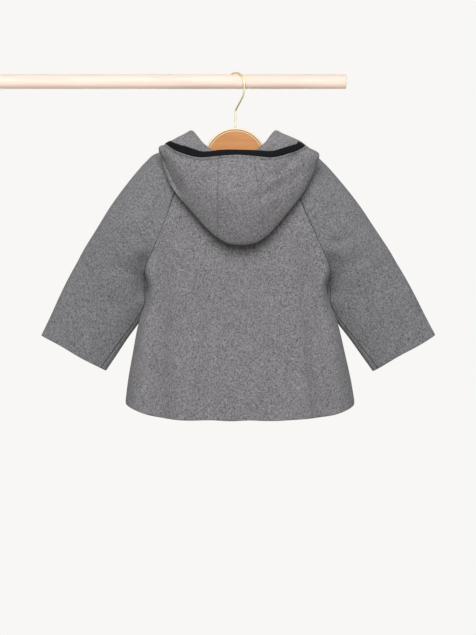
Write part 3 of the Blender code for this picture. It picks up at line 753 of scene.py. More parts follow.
# rows in section numbers, with extra ones close to the hem for its round edge
def rowPlaces():
    last = len(torso["back"]) - 1
    even = np.linspace(0, last, last * torso["rowsPerSection"] + 1)
    return np.concatenate([even[:-1], last - np.array(torso["hemRows"])])


# how far the soft folds push a panel in: bell curves across, eased in from the top
def foldPush(folds, x, z):
    hemZ = torso["back"][-1][1]
    push = np.zeros_like(x)
    for acrossX, drift, width, depth, topZ in folds:
        down = np.clip((topZ - z) / (topZ - hemZ), 0, 1)
        middle = acrossX + drift * (1 - down)
        push += depth * ease((topZ - z) / torso["foldFade"]) * bell(x - middle, width)
    return push


# a torso panel: x runs across, y is a flat oval of the half width, z sinks towards the middle by a bow
def torsoGrid(table, folds, creases, places, lap, seed):
    columns = through(np.array(table, float), rowPlaces()).T[:, :, None]
    edgeX, edgeZ, middleZ, depth, share, bow, sideY = columns
    x = places[None, :] * (edgeX + lap) - lap
    across = np.clip(x / edgeX, -1, 1)
    hemward = np.clip((rowPlaces() - len(table) + 1) / torso["hemReach"] + 1, 0, 1)[:, None]
    x = x - np.sign(across) * torso["cornerIn"] * np.abs(across) ** torso["cornerSharp"] * hemward**2
    share = np.clip(share, 0, 1)
    flatter = torso["sideFlat"]
    level = bell(edgeZ - flatter["z"], flatter["tall"]) * (depth < 0)
    power = torso["sideRound"] + flatter["by"] * level + flatter["always"] * (depth < 0)
    out = share + (1 - share) * rounded(across, power)
    y = sideY * (1 - out) + depth * out
    z = edgeZ + (middleZ - edgeZ) * (1 - np.abs(across) ** bow)
    short, sway, long = torso["hemWaveRun"]
    z = z + torso["hemWave"] * np.sin(x / short + sway * np.sin(x / long)) * hemward
    flat = rounded(across, torso["foldRound"])
    push = foldPush(folds, x, z) * flat + creasePush(creases, x, z) * flat
    push += uneven(x, z, torso["uneven"], seed) * flat
    return np.stack([x, y - np.sign(depth) * push, z], axis=2)


# slides the -X raglan seam towards the middle: a bell in z and in the distance from the seam, where it faces -Y
def seamSlid(grid):
    slide = torso["seamIn"]
    edgeX, edgeZ = np.array(torso["back"], float).T[:2]
    x, y, z = np.moveaxis(grid, 2, 0)
    off = (-x - np.interp(-z, -edgeZ, edgeX)) / slide["wide"]
    near = np.exp(-(off**2) - ((z - slide["z"]) / slide["tall"]) ** 2) * ease(-y / slide["deep"])
    return grid + np.stack([slide["by"] * near, 0 * near, 0 * near], axis=2)


# moves the first and last columns half a seam gap into the panel
def pulledIn(grid, last=True):
    grid = grid.copy()
    beside = torso["seamBeside"]
    for wanted, edge, inward in ((True, 0, beside), (last, -1, -1 - beside)):
        if wanted:
            grid[:, edge] += unit(grid[:, inward] - grid[:, edge]) * cloth["seamGap"] / 2
    return grid


# even places drawn towards both ends: a share of a quarter sine and the rest straight
def drawnOut(even):
    draw = torso["endDraw"]
    return draw * np.sin(even * math.pi / 2) + (1 - draw) * even


# places from -1 to 1, closer at the ends, with extra ones for the rolled seam edges
def backPlaces():
    wide = drawnOut(np.linspace(-1, 1, torso["backColumns"] + 1))
    close = 1 - np.array(torso["backEdge"])
    return np.concatenate([-close, wide[np.abs(wide) < torso["backWithin"]], close[::-1]])


# places from 1 at the side seam to 0 at the front edge
def frontPlaces():
    wide = drawnOut(np.linspace(1, 0, torso["frontColumns"] + 1))
    low, high = torso["frontWithin"]
    return np.concatenate([1 - np.array(torso["frontEdge"]), wide[(wide < high) & (wide > low)], torso["frontShut"]])


# the whole back: a torso panel with no lap, drawn in by the seam gap
def backGrid():
    seed = torso["seeds"]["back"]
    return pulledIn(torsoGrid(torso["back"], torso["backFolds"], torso["backCreases"], backPlaces(), 0.0, seed))


# the +X front; the one that lies over is lifted by a wall and a gap across the lap
def frontGrid(liesOver):
    side = 1 if liesOver else -1
    turn = np.array([side, side, 1, 1, 1])
    folds = [tuple(np.array(row) * turn) for row in torso["frontFolds"]]
    seed = torso["seeds"]["over" if liesOver else "under"]
    grid = torsoGrid(torso["front"], folds, torso["frontCreases"], frontPlaces(), torso["frontLap"], seed)
    if liesOver:
        reach = torso["frontLap"] + torso["lapFlat"] + torso["lapEase"]
        grid[:, :, 1] += (cloth["wall"] + torso["lapGap"]) * ease((reach - grid[:, :, 0]) / torso["lapEase"])
    return pulledIn(grid, last=False)


sleeve = {
    "halfColumns": 62,
    # outerX, outerZ, outerY, depthBack, depthFront down the outer fold to the cuff
    "outer": [
        (64.0, -100.0, 0.0, 30.0, 31.5),
        (113.0, -106.5, 0.0, 34.0, 36.0),
        (133.5, -121.0, 0.0, 36.5, 38.0),
        (159.5, -150.5, 0.0, 37.5, 39.0),
        (186.0, -185.0, 1.0, 36.5, 38.0),
        (208.0, -219.0, 2.0, 33.0, 34.0),
        (228.0, -250.0, 3.0, 29.0, 29.0),
        (240.0, -271.0, 5.0, 27.0, 26.0),
        (255.0, -297.0, 7.0, 25.0, 24.0),
        (269.0, -324.0, 9.0, 23.0, 21.5),
        (282.0, -351.0, 11.0, 20.5, 19.5),
        (297.0, -380.5, 12.0, 18.0, 17.5),
    ],
    # innerX, innerZ, innerY from the underarm to the cuff
    "inner": [
        (134.0, -309.0, 4.0),
        (134.5, -335.0, 10.0),
        (149.0, -361.0, 14.0),
        (167.5, -386.0, 14.0),
        (184.0, -410.0, 13.5),
        (201.0, -434.5, 13.0),
    ],
    # the underarm seam line's groove: inset, width, depth and the strength of the painted shade in it
    "seamLine": {"inset": 11.5, "width": 1.1, "depth": 1.2, "tone": 1.6},
    "ridge": {"inset": 13.9, "width": 1.6, "height": 0.35},
    "round": 2.5,
    "creaseRound": 3.0,
    "frontCrease": 0.7,
    "seeds": {"right": 1.1, "left": 4.6},
    # how far the columns draw to the edges, and extra ones for the rolled edge and the seam line
    "endDraw": 0.62,
    "edgePlaces": (0.0012, 0.003, 0.0055, 0.009),
    "linePlaces": (0.05, 0.088, 0.004),
    # the underarm is shut by a small lap over a few rows
    "shutRows": 8.0,
    "shutLap": 1.6,
    # the back half tucks in behind the body at the underarm: fromX, fromZ, toX, toZ, bend, width, depth
    "tuck": [(141.0, -256.0, 139.0, -330.0, 0.0, 15.0, 8.0)],
    # where the body shades the tuck: level, height, width and strength of the shade
    "notch": {"z": -302.0, "tall": 26.0, "wide": 17.0, "tone": 0.75},
    "tuckEdge": {"least": 0.6, "over": 0.04},
    "cuffReach": 0.5,
    "cuffWave": 0.5,
    "cuffWaves": 9.0,
    "cuffRows": 20,
    "rightCreases": [
        (128.0, -262.0, 176.0, -232.0, -6.0, 8.0, 1.6),
        (138.0, -290.0, 200.0, -268.0, -7.0, 9.0, 1.4),
        (146.0, -322.0, 205.0, -322.0, -4.0, 10.0, 1.0),
        (104.0, -150.0, 150.0, -205.0, 6.0, 12.0, 1.0),
    ],
    "leftCreases": [
        (126.0, -258.0, 170.0, -222.0, -5.0, 8.0, 1.5),
        (140.0, -296.0, 204.0, -280.0, -6.0, 9.0, 1.5),
        (150.0, -330.0, 214.0, -340.0, 4.0, 10.0, 1.0),
        (108.0, -140.0, 160.0, -196.0, 6.0, 12.0, 1.1),
    ],
    "uneven": 0.4,
}


# the +X sleeve: each half runs from its seam line to the outer fold, bulging out by a flat oval
def sleeveGrid(creases, seed):
    rows = rowPlaces()
    underarmRow = torso["underarm"] * torso["rowsPerSection"]
    outerX, outerZ, outerY, depthBack, depthFront = through(np.array(sleeve["outer"]), rows).T
    innerX, innerZ, innerY = through(np.array(sleeve["inner"]), rows[underarmRow:] - torso["underarm"]).T
    fold = np.stack([outerX, outerY, outerZ], axis=1)
    turn = np.linspace(0, math.pi, sleeve["halfColumns"] + 1)
    draw = sleeve["endDraw"]
    along = draw * (1 - np.cos(turn)) / 2 + (1 - draw) * turn / math.pi
    along = np.unique(np.concatenate([along, sleeve["edgePlaces"], np.arange(*sleeve["linePlaces"])]))
    downward = unit(fold[-1] - fold[-sleeve["cuffRows"]])
    wave = sleeve["cuffWave"] * ease((rows - len(sleeve["outer"]) + 1) / sleeve["cuffReach"] + 1)
    halves = []
    for table, depth, side in ((torso["back"], depthBack, -1), (torso["front"], depthFront, 1)):
        edgeX, edgeZ, _, panelDepth, share, _, sideY = through(np.array(table, float), rows).T
        share = np.clip(share, 0, 1)
        seam = np.stack([edgeX, sideY * (1 - share) + panelDepth * share, edgeZ], axis=1)
        seam[underarmRow:] = np.stack([innerX, innerY, innerZ], axis=1)
        shut = bell(np.arange(len(rows)) - underarmRow, sleeve["shutRows"])[:, None]
        seam = seam + unit(fold - seam) * (cloth["seamGap"] - sleeve["shutLap"] * shut)
        points = seam[:, None, :] + (fold - seam)[:, None, :] * along[None, :, None]
        start = (side * (seam[:, 1] - fold[:, 1]) / depth)[:, None]
        at = along[None, :]
        bulge = rounded(at, sleeve["round"]) * (start + (1 - start) * rounded(1 - at, sleeve["round"]))
        x, z = points[:, :, 0], points[:, :, 2]
        push = creasePush(creases, x, z) * (1.0 if side < 0 else sleeve["frontCrease"])
        push = push + uneven(x, z, sleeve["uneven"], seed + side)
        push = push * rounded(1 - at, sleeve["creaseRound"]) * rounded(at, sleeve["creaseRound"])
        if side < 0:
            least, over = sleeve["tuckEdge"].values()
            push = push + creasePush(sleeve["tuck"], x, z) * (least + (1 - least) * ease(at / over))
        points[:, :, 1] = fold[:, None, 1] + side * (depth[:, None] * bulge - push)
        points = points + wave[:, None, None] * np.sin(sleeve["cuffWaves"] * at + seed)[..., None] * downward
        halves.append(points)
    return np.concatenate([halves[0], halves[1][:, ::-1][:, 1:]], axis=1)


# rolls the sewn edges and the bottom edge of a panel in by quarter circles, and paints a bell of shade beside its
# seams;
# a sleeve, closed below the row stop, also has its seam line, with painted shade in its groove, and the painted shade
# of the tuck
def finishPanel(outer, normal, sewn, stop=None):
    inner = outer - normal * cloth["wall"]
    rows = outer.shape[0]
    drop = np.zeros(outer.shape[:2])
    tone = np.zeros(outer.shape[:2])
    run = runAlong(outer, axis=1)
    above = np.ones((rows, 1)) if stop is None else (np.arange(rows) <= stop)[:, None].astype(float)
    levels, dark, roll = np.array(sewing["seamShadeAndRoll"], float).T
    for wanted, distance, edge in zip(sewn, (run, run[:, -1:] - run), (0, -1)):
        if wanted:
            shadeHere = np.interp(-outer[:, edge, 2], -levels, dark)[:, None] * above
            shadeHere = np.minimum(shadeHere, sewing["bodyShadeLimit"]) if stop is None else shadeHere
            rollHere = np.interp(-outer[:, edge, 2], -levels, roll)[:, None] * above
            drop += rolledEdge(distance, sewing["seamRoll"]) * rollHere
            tone += bell(distance, sewing["paintedSeamShade"] * np.maximum(shadeHere, 1.0)) * shadeHere
    if stop is not None:
        line, ridge, notch = sleeve["seamLine"], sleeve["ridge"], sleeve["notch"]
        groove = bell(run - line["inset"], line["width"]) * (1 - above)
        drop += line["depth"] * groove
        drop -= ridge["height"] * bell(run - ridge["inset"], ridge["width"]) * (1 - above)
        # painted shade in the seam line's groove and where the body shades the tuck
        tone += line["tone"] * groove
        tone += notch["tone"] * bell(outer[:, :1, 2] - notch["z"], notch["tall"]) * bell(run, notch["wide"])
    down = runAlong(outer, axis=0)
    rim = rolledEdge(down[-1:] - down, sewing["edgeRoll"])
    tone = np.clip(tone, 0, sewing["shadeLimit"])
    return outer - normal * (drop + rim)[..., None], inner + normal * rim[..., None], tone


# area of a grid of points in square metres
def areaOf(grid):
    first = np.linalg.norm(np.cross(grid[1:, :-1] - grid[:-1, :-1], grid[:-1, 1:] - grid[:-1, :-1]), axis=2)
    second = np.linalg.norm(np.cross(grid[1:, :-1] - grid[1:, 1:], grid[:-1, 1:] - grid[1:, 1:]), axis=2)
    return (first.sum() + second.sum()) / 2 * mm * mm


# the five panels: grids with normals shared along each seam, finished, leaned and walled
def makePanels():
    underarmRow = torso["underarm"] * torso["rowsPerSection"]
    seeds = sleeve["seeds"]
    grids = {
        "back": seamSlid(backGrid()),
        "front_right": frontGrid(True),
        "front_left": mirrored(frontGrid(False)),
        "sleeve_right": sleeveGrid(sleeve["rightCreases"], seeds["right"]),
        "sleeve_left": seamSlid(mirrored(sleeveGrid(sleeve["leftCreases"], seeds["left"]))),
    }
    closed = {"sleeve_right": underarmRow, "sleeve_left": underarmRow}
    normals = {name: normalsOf(grid, closed.get(name)) for name, grid in grids.items()}
    armhole, side = slice(0, underarmRow + 1), slice(underarmRow, None)
    # rows that a seam joins, then a panel and its edge on each side of it
    seams = [
        (armhole, "back", -1, "sleeve_right", 0),
        (armhole, "front_right", 0, "sleeve_right", -1),
        (armhole, "back", 0, "sleeve_left", -1),
        (armhole, "front_left", -1, "sleeve_left", 0),
        (side, "back", -1, "front_right", 0),
        (side, "back", 0, "front_left", -1),
    ]
    for rows, first, firstEdge, second, secondEdge in seams:
        shareNormals(normals[first][rows, firstEdge], normals[second][rows, secondEdge])
    sewn = {"front_right": (True, False), "front_left": (False, True)}
    made = {}
    for name, grid in grids.items():
        stop = closed.get(name)
        normal = normals[name]
        if stop is not None:
            normal[stop, 0] = normal[stop, -1]
        turn = -1 if name == "sleeve_left" else 1  # both sleeves run from the back seam
        outer, inner, tone = finishPanel(grid[:, ::turn], normal[:, ::turn], sewn.get(name, (True, True)), stop)
        if stop is not None:
            outer[stop:, -1], inner[stop:, -1] = outer[stop:, 0], inner[stop:, 0]
        # the sleeves take the darker copy of the wool, with its painted shade
        look = woolBody if stop is None else woolSleeveShaded
        made[name] = wallObject("cloth_" + name, leaned(outer), leaned(inner), look, stop, tone)
        enter(made[name], name)
        printCut(name, grid, runAlong(grid, axis=0))
    return made, grids


panels, panelGrids = makePanels()
print("panels made")


hood = {
    "columnsPerStation": 14,
    "rowsBetween": (1, 2, 2, 4, 4, 4, 3),
    "finer": 8,
    "neckStand": 9.0,
    "neckInset": 4.8,
    "neckTuck": 1.0,
    "stripStation": 1,
    "foldKnot": 5,
    # share of the neckline, then the roll, fall, far layer, bottom fold, near layer and face edge
    "stations": [
        (0.00, (0, -33, -112), (0, -40, -122), (0, -44, -178),
         (0, -61, -246.5), (0, -82, -180), (0, -64, -114)),
        (0.12, (22, -33, -112.5), (23, -40, -119), (28, -44, -172),
         (34, -58.5, -236), (30, -79, -175), (25, -66, -115.5)),
        (0.25, (44.5, -29, -97), (50, -37, -109), (61, -43, -149),
         (75.5, -52, -191), (66, -70, -154), (54, -68, -117.5)),
        (0.33, (54, -19, -85), (65, -28, -94), (82, -40, -124),
         (98, -47, -157), (92, -60, -134), (79, -63, -110.5)),
        (0.42, (61.5, -8, -75.5), (72, -14, -81), (93, -27, -97),
         (107, -40, -118), (108.5, -53, -115), (94.5, -56, -103.5)),
        (0.48, (63, 1, -77), (73, -2, -81.5), (90, -11, -90.5),
         (100.5, -18, -98), (105, -28, -104.5), (98.5, -35, -98.2)),
        (0.54, (63, 12, -81), (73, 13, -84), (86, 10, -89.5),
         (92, 8, -93), (95.5, 6.5, -98.6), (97.0, 5, -98.2)),
        (0.67, (55, 33, -100), (66, 38, -101), (81, 38, -104),
         (91, 36, -107.5), (97.5, 34, -110), (104, 32, -112.5)),
        (0.80, (37, 42, -122), (46, 47, -125), (58, 49, -130),
         (70, 49, -134.5), (80, 48, -137), (88, 46, -139)),
        (0.93, (15, 39, -138), (20, 44, -140), (25, 46, -144),
         (30, 47, -149), (35, 47, -153.5), (40, 46.5, -158)),
    ],
    # the bag hangs to one side: x moved at the neck, stand and the six named points, and its share by station
    "shift": (0.0, 0.0, 0.0, 1.0, 3.0, 7.0, 5.0, 3.0),
    "shiftShare": (1.0, 1.0, 0.9, 0.5, 0.0, 0.0, 0.0, 0.0, 0.0, 0.0),
    # the +X side hangs further out: by station, and its share at each point
    "sideOut": (0.0, 0.0, 1.0, 6.0, 15.0, 6.0, 0.0, 0.0, 0.0, 0.0),
    "sideShare": (0.0, 0.0, 0.0, 0.1, 0.5, 0.9, 1.0, 0.35),
    # the -X corner stands higher: z by station, and its share at each point
    "cornerUp": (0.0, 0.0, 0.0, 1.5, 8.0, 4.5, 0.0, 0.0, 0.0, 0.0),
    "cornerShare": (0.0, 0.0, 0.0, 0.0, 0.1, 0.55, 1.0, 0.3),
    # fromX, fromZ, toX, toZ, bend, width, depth of the creases on the near layer
    "creases": [
        (92.0, -110.0, 42.0, -152.0, -8.0, 7.0, 3.0),
        (84.0, -142.0, 20.0, -184.0, -6.0, 8.0, 2.8),
        (100.0, -128.0, 62.0, -172.0, -4.0, 7.0, 2.2),
    ],
    # the left side falls back behind a line from the binding's end: the line, its width, reach and depth
    "facets": [(-97.0, -106.0, -56.0, -180.0, 4.0, 1.1, 18.0, 7.0)],
    "stitchInset": 6.2,
    "stitchDepth": 1.0,
    # strength of the painted shade in the stitch groove
    "stitchShade": 1.6,
    "hemPuff": 0.5,
    "stitchWidth": 1.3,
    "bandShare": 0.45,
    "bandWidth": 2.2,
    "stripDepth": 0.35,
    "stripWidth": 1.8,
    # strength and width of the painted shade along the strip seams, and the limit of all painted shade on the hood
    "stripShade": 0.9,
    "stripShadeWidth": 1.4,
    "shadeLimit": 2.0,
    "innerPull": 0.3,
    "uneven": 0.3,
    "seed": 0.9,
    # rows over which the near layer starts, and how far from the face edge its creases and waves start
    "nearRows": 1.2,
    "creaseEase": 10.0,
    "unevenEase": 12.0,
}


# points along the +X half of the neckline, from the centre back to the centre front
def neckline():
    back = panelGrids["back"][0]
    back = back[back[:, 0] >= 0]
    front = mirrored(panelGrids["front_left"])[0]
    front = front[front[:, 0] >= 0]
    return np.concatenate([back, panelGrids["sleeve_right"][0], front])


# one line of hood cloth through its named points, with a set number of rows between each two
def hoodLine(knots):
    places = np.concatenate([[0], np.cumsum(np.sqrt(np.linalg.norm(np.diff(knots, axis=0), axis=1)))])
    counts = [rows * hood["finer"] for rows in hood["rowsBetween"]]
    steps = [low + (high - low) * np.arange(1, n + 1) / n for low, high, n in zip(places, places[1:], counts)]
    return through(knots, np.concatenate([places[:1], *steps]), places)


# the hood's middle surface: smooth lines across the stations, each line smooth from the neck to the face edge
def hoodSurface():
    shares = np.array([station[0] for station in hood["stations"]])
    neck = alongLine(neckline(), shares)
    neck = neck - unit(neck * np.array([1, 1, 0])) * hood["neckInset"]
    neck[:, 2] -= hood["neckTuck"]
    stand = neck + np.array([0, 0, hood["neckStand"]])
    net = np.array([[low, high, *row[1:]] for low, high, row in zip(neck, stand, hood["stations"])], float)
    net[0, :, 0] = 0.0
    whole = np.concatenate([net[:0:-1] * np.array([-1, 1, 1]), net])
    share = np.array(hood["shiftShare"][:0:-1] + hood["shiftShare"])
    whole[:, :, 0] += share[:, None] * np.array(hood["shift"])
    whole[len(net) - 1 :, :, 0] += np.array(hood["sideOut"])[:, None] * np.array(hood["sideShare"])
    whole[: len(net), :, 2] += np.array(hood["cornerUp"])[::-1, None] * np.array(hood["cornerShare"])
    count = (len(whole) - 1) * hood["columnsPerStation"] + 1
    lines = through(whole, np.linspace(0, len(whole) - 1, count))
    return leaned(np.stack([hoodLine(line) for line in lines], axis=1))


# the hood's three pieces: the middle surface pushed in by creases, cut at the strip seams, given painted shade at its
# stitch line and strip seams, and walled half to each side
def makeHood():
    middle = hoodSurface()
    normal = normalsOf(middle)
    half = (middle.shape[1] - 1) // 2
    strip = hood["stripStation"] * hood["columnsPerStation"]
    foldRow = sum(hood["rowsBetween"][: hood["foldKnot"]]) * hood["finer"]
    faceRow = middle.shape[0] - 1
    out = -np.sign(normal[(foldRow + faceRow) // 2, half, 1])  # which way the near layer's outer face looks
    down = runAlong(middle, axis=0)
    fromFace = down[-1:] - down
    near = ease((np.arange(faceRow + 1) - foldRow) / (hood["nearRows"] * hood["finer"]))[:, None]
    x, z = middle[:, :, 0], middle[:, :, 2]
    push = creasePush(hood["creases"], x, z) + facetPush(hood["facets"], x, z)
    push = push * near * ease(fromFace / hood["creaseEase"])
    push += uneven(x, z, hood["uneven"], hood["seed"]) * near * ease(fromFace / hood["unevenEase"])
    middle = middle - normal * out * push[..., None]
    across = runAlong(middle, axis=1)
    stitch = bell(fromFace - hood["stitchInset"], hood["stitchWidth"])
    band = bell(fromFace - hood["stitchInset"] * hood["bandShare"], hood["bandWidth"])
    # columns of each piece, and whether its first and last are sewn
    places = {
        "hood_left": (slice(0, half - strip + 1), False, True),
        "hood_centre": (slice(half - strip, half + strip + 1), True, True),
        "hood_right": (slice(half + strip, None), True, False),
    }
    made = {}
    for name, (columns, first, last) in places.items():
        surface = middle[:, columns].copy()
        run = across[:, columns] - across[:, columns][:, :1]
        drop = hood["stitchDepth"] * stitch[:, columns] - hood["hemPuff"] * band[:, columns]
        # tone is painted shade: in the stitch groove here, and along the strip seams below
        tone = hood["stitchShade"] * stitch[:, columns]
        sides = ((first, 0, 1, run), (last, -1, -2, run[:, -1:] - run))
        for wanted, edge, inward, distance in sides:
            if wanted:
                surface[:, edge] += unit(surface[:, inward] - surface[:, edge]) * cloth["hoodSeamGap"] / 2
                drop = drop + hood["stripDepth"] * bell(distance, hood["stripWidth"])
                tone = tone + hood["stripShade"] * bell(distance, hood["stripShadeWidth"])
        lift = normal[:, columns] * out * cloth["wall"] / 2
        pull = normal[:, columns] * out * drop[..., None]
        outer, inner = surface + lift - pull, surface - lift + hood["innerPull"] * pull
        tone = np.clip(tone, 0, hood["shadeLimit"])
        made[name] = wallObject("cloth_" + name, outer, inner, woolBody, None, tone)
        enter(made[name], name)
        printCut(name, surface, down[:, columns])
    return made, middle, normal, out, fromFace


hoodPieces, hoodMiddle, hoodNormal, hoodOut, hoodFromFace = makeHood()
print("hood made")


binding = {
    "firstRow": 4,
    "reach": 6.7,
    "cover": -2.4,
    # the tape stands taller towards the hood's corners: x, how wide, by what share
    "corner": {"x": 72.0, "wide": 20.0, "by": 0.3},
    "clear": 0.25,
    "skin": 0.85,
    "cornerSmooth": 13,
    "ribPitch": 1.1,
    # the profile's edge, flat side and crown, and the hollow that the cloth's edge lies in
    "edgeUp": 0.35,
    "edgeIn": 0.3,
    "edgeSoft": 0.1,
    "flatFrom": 0.4,
    "crownAt": 0.55,
    "crownUp": 0.12,
    "hollowFrom": 0.1,
    "hollowTurn": (0.5, 0.6),
    "hollowEnd": 0.6,
    "wave": 0.06,
    "waveRun": (9.0, 0.6, 23.0),
    "noseSteps": 15,
    "besideRows": 3,
}


# the tape's U profile: out beyond the cloth's edge and off to its side, round the nose and back, then its hollow
def tapeProfile():
    cover = binding["cover"]
    lip = cloth["wall"] / 2 + binding["clear"]
    thick = lip + binding["skin"]
    nose = binding["reach"] - thick
    turn = np.linspace(math.pi / 2, -math.pi / 2, binding["noseSteps"])
    outside = [
        (cover, lip + binding["edgeUp"]),
        (cover + binding["edgeIn"], thick - binding["edgeSoft"]),
        (binding["flatFrom"], thick),
        (nose * binding["crownAt"], thick + binding["crownUp"]),
    ]
    rounding = [(nose + thick * math.cos(a), thick * math.sin(a)) for a in turn]
    start, (turnOut, turnShare) = binding["hollowFrom"], binding["hollowTurn"]
    hollow = [(cover + start, -lip), (start, -lip), (turnOut, -lip * turnShare)]
    mirror = lambda points: [(beyond, -aside) for beyond, aside in points[::-1]]
    return np.array(outside + rounding + mirror(outside) + hollow + [(binding["hollowEnd"], 0.0)] + mirror(hollow))


# a folded tape: a U profile carried along the hood's front ends and face edge, turning smoothly at the corners
def makeBinding():
    end = slice(binding["firstRow"] * hood["finer"], None)
    beside = binding["besideRows"]
    join = lambda grid, k: np.concatenate([grid[end, k], grid[-1 - k, 1:-1], grid[end, -1 - k][::-1]])
    edge, facing, inside = join(hoodMiddle, 0), join(hoodNormal, 0), join(hoodMiddle, beside)
    along = unit(np.gradient(edge, axis=0))
    facing = unit(facing - along * np.sum(facing * along, axis=1, keepdims=True))
    away = np.cross(along, facing)
    away = away * np.sign(np.sum(away * (edge - inside), axis=1, keepdims=True))
    count = binding["cornerSmooth"]
    padded = lambda line: np.pad(line, count // 2, mode="edge")
    smooth = lambda a: np.stack([np.convolve(padded(line), np.ones(count) / count, "valid") for line in a.T], axis=1)
    away, facing = unit(smooth(away)), unit(smooth(facing))
    beyond, aside = tapeProfile().T
    run = runAlong(edge)
    short, sway, long = binding["waveRun"]
    corner = binding["corner"]
    swell = 1 + binding["wave"] * np.sin(run / short + sway * np.sin(run / long))
    swell += corner["by"] * bell(np.abs(edge[:, 0]) - corner["x"], corner["wide"]) * (edge[:, 1] < 0)
    beyond = beyond * np.where(beyond > 1, swell[:, None], 1.0)
    rings = edge[:, None] + away[:, None] * beyond[..., None] + facing[:, None] * aside[:, None]
    ribs = np.repeat((run / binding["ribPitch"])[:, None], len(aside), axis=1)
    piece = sweptObject("tape_binding", rings, tape, {"tapeRun": ribs})
    enter(piece, "hood_binding")
    print("binding runs", round(run[-1] * mm, 3))
    return piece


stitches = {
    "pitch": 3.0,
    "length": 2.3,
    "radius": 0.3,
    "arch": 0.35,
    "lift": -0.13,
    "look": 0.2,
    "least": 0.02,
    "sides": 8,
    "rings": 7,
}


# a row of stitches: short arched beads along a line, each a circle carried over a half sine
def stitchRow(name, line, facing, material):
    run = runAlong(line)
    middles = np.arange(stitches["pitch"], run[-1] - stitches["pitch"], stitches["pitch"])
    at = lambda values, where: np.stack([np.interp(where, run, values[:, k]) for k in range(3)], axis=-1)
    step = np.linspace(-0.5, 0.5, stitches["rings"])
    where = middles[:, None] + step * stitches["length"]
    size = stitches["radius"] * np.sqrt(np.clip(1 - (2 * step) ** 4, stitches["least"], 1))
    up = unit(at(facing, where))
    forward = unit(at(line, where + stitches["look"]) - at(line, where - stitches["look"]))
    lift = np.cos(step * math.pi) * stitches["arch"] + stitches["lift"]
    centre = at(line, where) + up * lift[:, None]
    piece = sweptObject(name, circleRings(centre, up, np.cross(forward, up), size, stitches["sides"]), material)
    enter(piece)
    print(name, len(middles), "stitches")
    return piece


# the face edge's stitching: the outer surface read at a set distance from the edge on each line of cloth
def makeFaceStitches():
    rows = np.arange(hoodFromFace.shape[0])
    row = np.array([np.interp(-hood["stitchInset"], -distance, rows) for distance in hoodFromFace.T])
    low = np.clip(row.astype(int), 0, len(rows) - 2)
    part = (row - low)[:, None]
    column = np.arange(hoodMiddle.shape[1])
    line = hoodMiddle[low, column] * (1 - part) + hoodMiddle[low + 1, column] * part
    facing = hoodNormal[low, column] * hoodOut
    line = line + facing * (cloth["wall"] / 2 - hood["stitchDepth"])
    return stitchRow("stitch_face", line, facing, greyThread)


bindingPiece = makeBinding()
faceStitches = makeFaceStitches()


buttons = {
    "radius": 9.0,
    "thick": 4.0,
    "clear": 0.3,
    "firstZ": -186.0,
    "pitch": 68.0,
    "count": 4,
    "edge": 0.5,
    # depth of the dish and of the edge's round, with how far in from the edge each starts and over what width
    "dish": (1.4, 4.2, 2.2),
    "lip": (0.9, 1.7, 1.3),
    "holeRing": 2.3,
    "holeRadius": 0.95,
    "well": 1.8,
    "wellSoft": 0.5,
    # in from the edge and height of the rings of the side and back
    "back": [(0.0, 2.2), (0.1, 1.5), (0.6, 0.8), (2.0, 0.25), (9.0, 0.25)],
    "rings": 44,
    "sides": 72,
    "slopeOver": 5.0,
}

threads = {
    "radius": 0.32,
    "sides": 10,
    "steps": 15,
    "apart": 0.275,
    "foot": 1.55,
    "rise": 1.15,
    "square": 8,
    "bow": 0.14,
}


# a button: height over a disc is a raised rim and a dish less four round wells, closed by a flat back
def buttonDisc():
    radius, sides = buttons["radius"], buttons["sides"]
    angle = np.linspace(0, 2 * math.pi, sides, endpoint=False)
    r = np.repeat(np.linspace(0, 1, buttons["rings"])[:, None] * (radius - buttons["edge"]), sides, axis=1)
    u, v = r * np.cos(angle), r * np.sin(angle)
    dish, dishFrom, dishOver = buttons["dish"]
    lip, lipFrom, lipOver = buttons["lip"]
    height = buttons["thick"] - dish * (1 - ease((r - radius + dishFrom) / dishOver))
    height = height - lip * ease((r - radius + lipFrom) / lipOver)
    soft = buttons["wellSoft"]
    for turn in math.pi / 4 + np.arange(4) * math.pi / 2:
        far = np.hypot(u - buttons["holeRing"] * math.cos(turn), v - buttons["holeRing"] * math.sin(turn))
        height = height - buttons["well"] * ease((buttons["holeRadius"] + soft / 2 - far) / soft)
    inset, level = np.array(buttons["back"]).T[:, :, None]
    around = radius - inset
    back = np.stack([around * np.cos(angle), around * np.sin(angle), level + 0 * angle], axis=2)
    return np.concatenate([np.stack([u, v, height], axis=2), back])


# four strands in the holes of a button: a squared arch, 1 - s^8, with a little bow, as rings of small tubes
def threadRings(place):
    reach = buttons["holeRing"] * math.cos(math.pi / 4)
    step = np.linspace(-1, 1, threads["steps"])
    rise = threads["foot"] + threads["rise"] * (1 - step ** threads["square"]) + threads["bow"] * (1 - step**2)
    made = []
    for row in (-1, 1):
        for side in (-1, 1):
            across = np.full_like(step, row * reach + side * threads["apart"])
            line = place(np.stack([step * reach, across, rise], axis=1))
            along = unit(np.gradient(line, axis=0))
            first = unit(np.cross(along, np.array([0.0, 0.0, 1.0])))
            made.append(circleRings(line, first, np.cross(along, first), threads["radius"], threads["sides"]))
    return np.array(made)


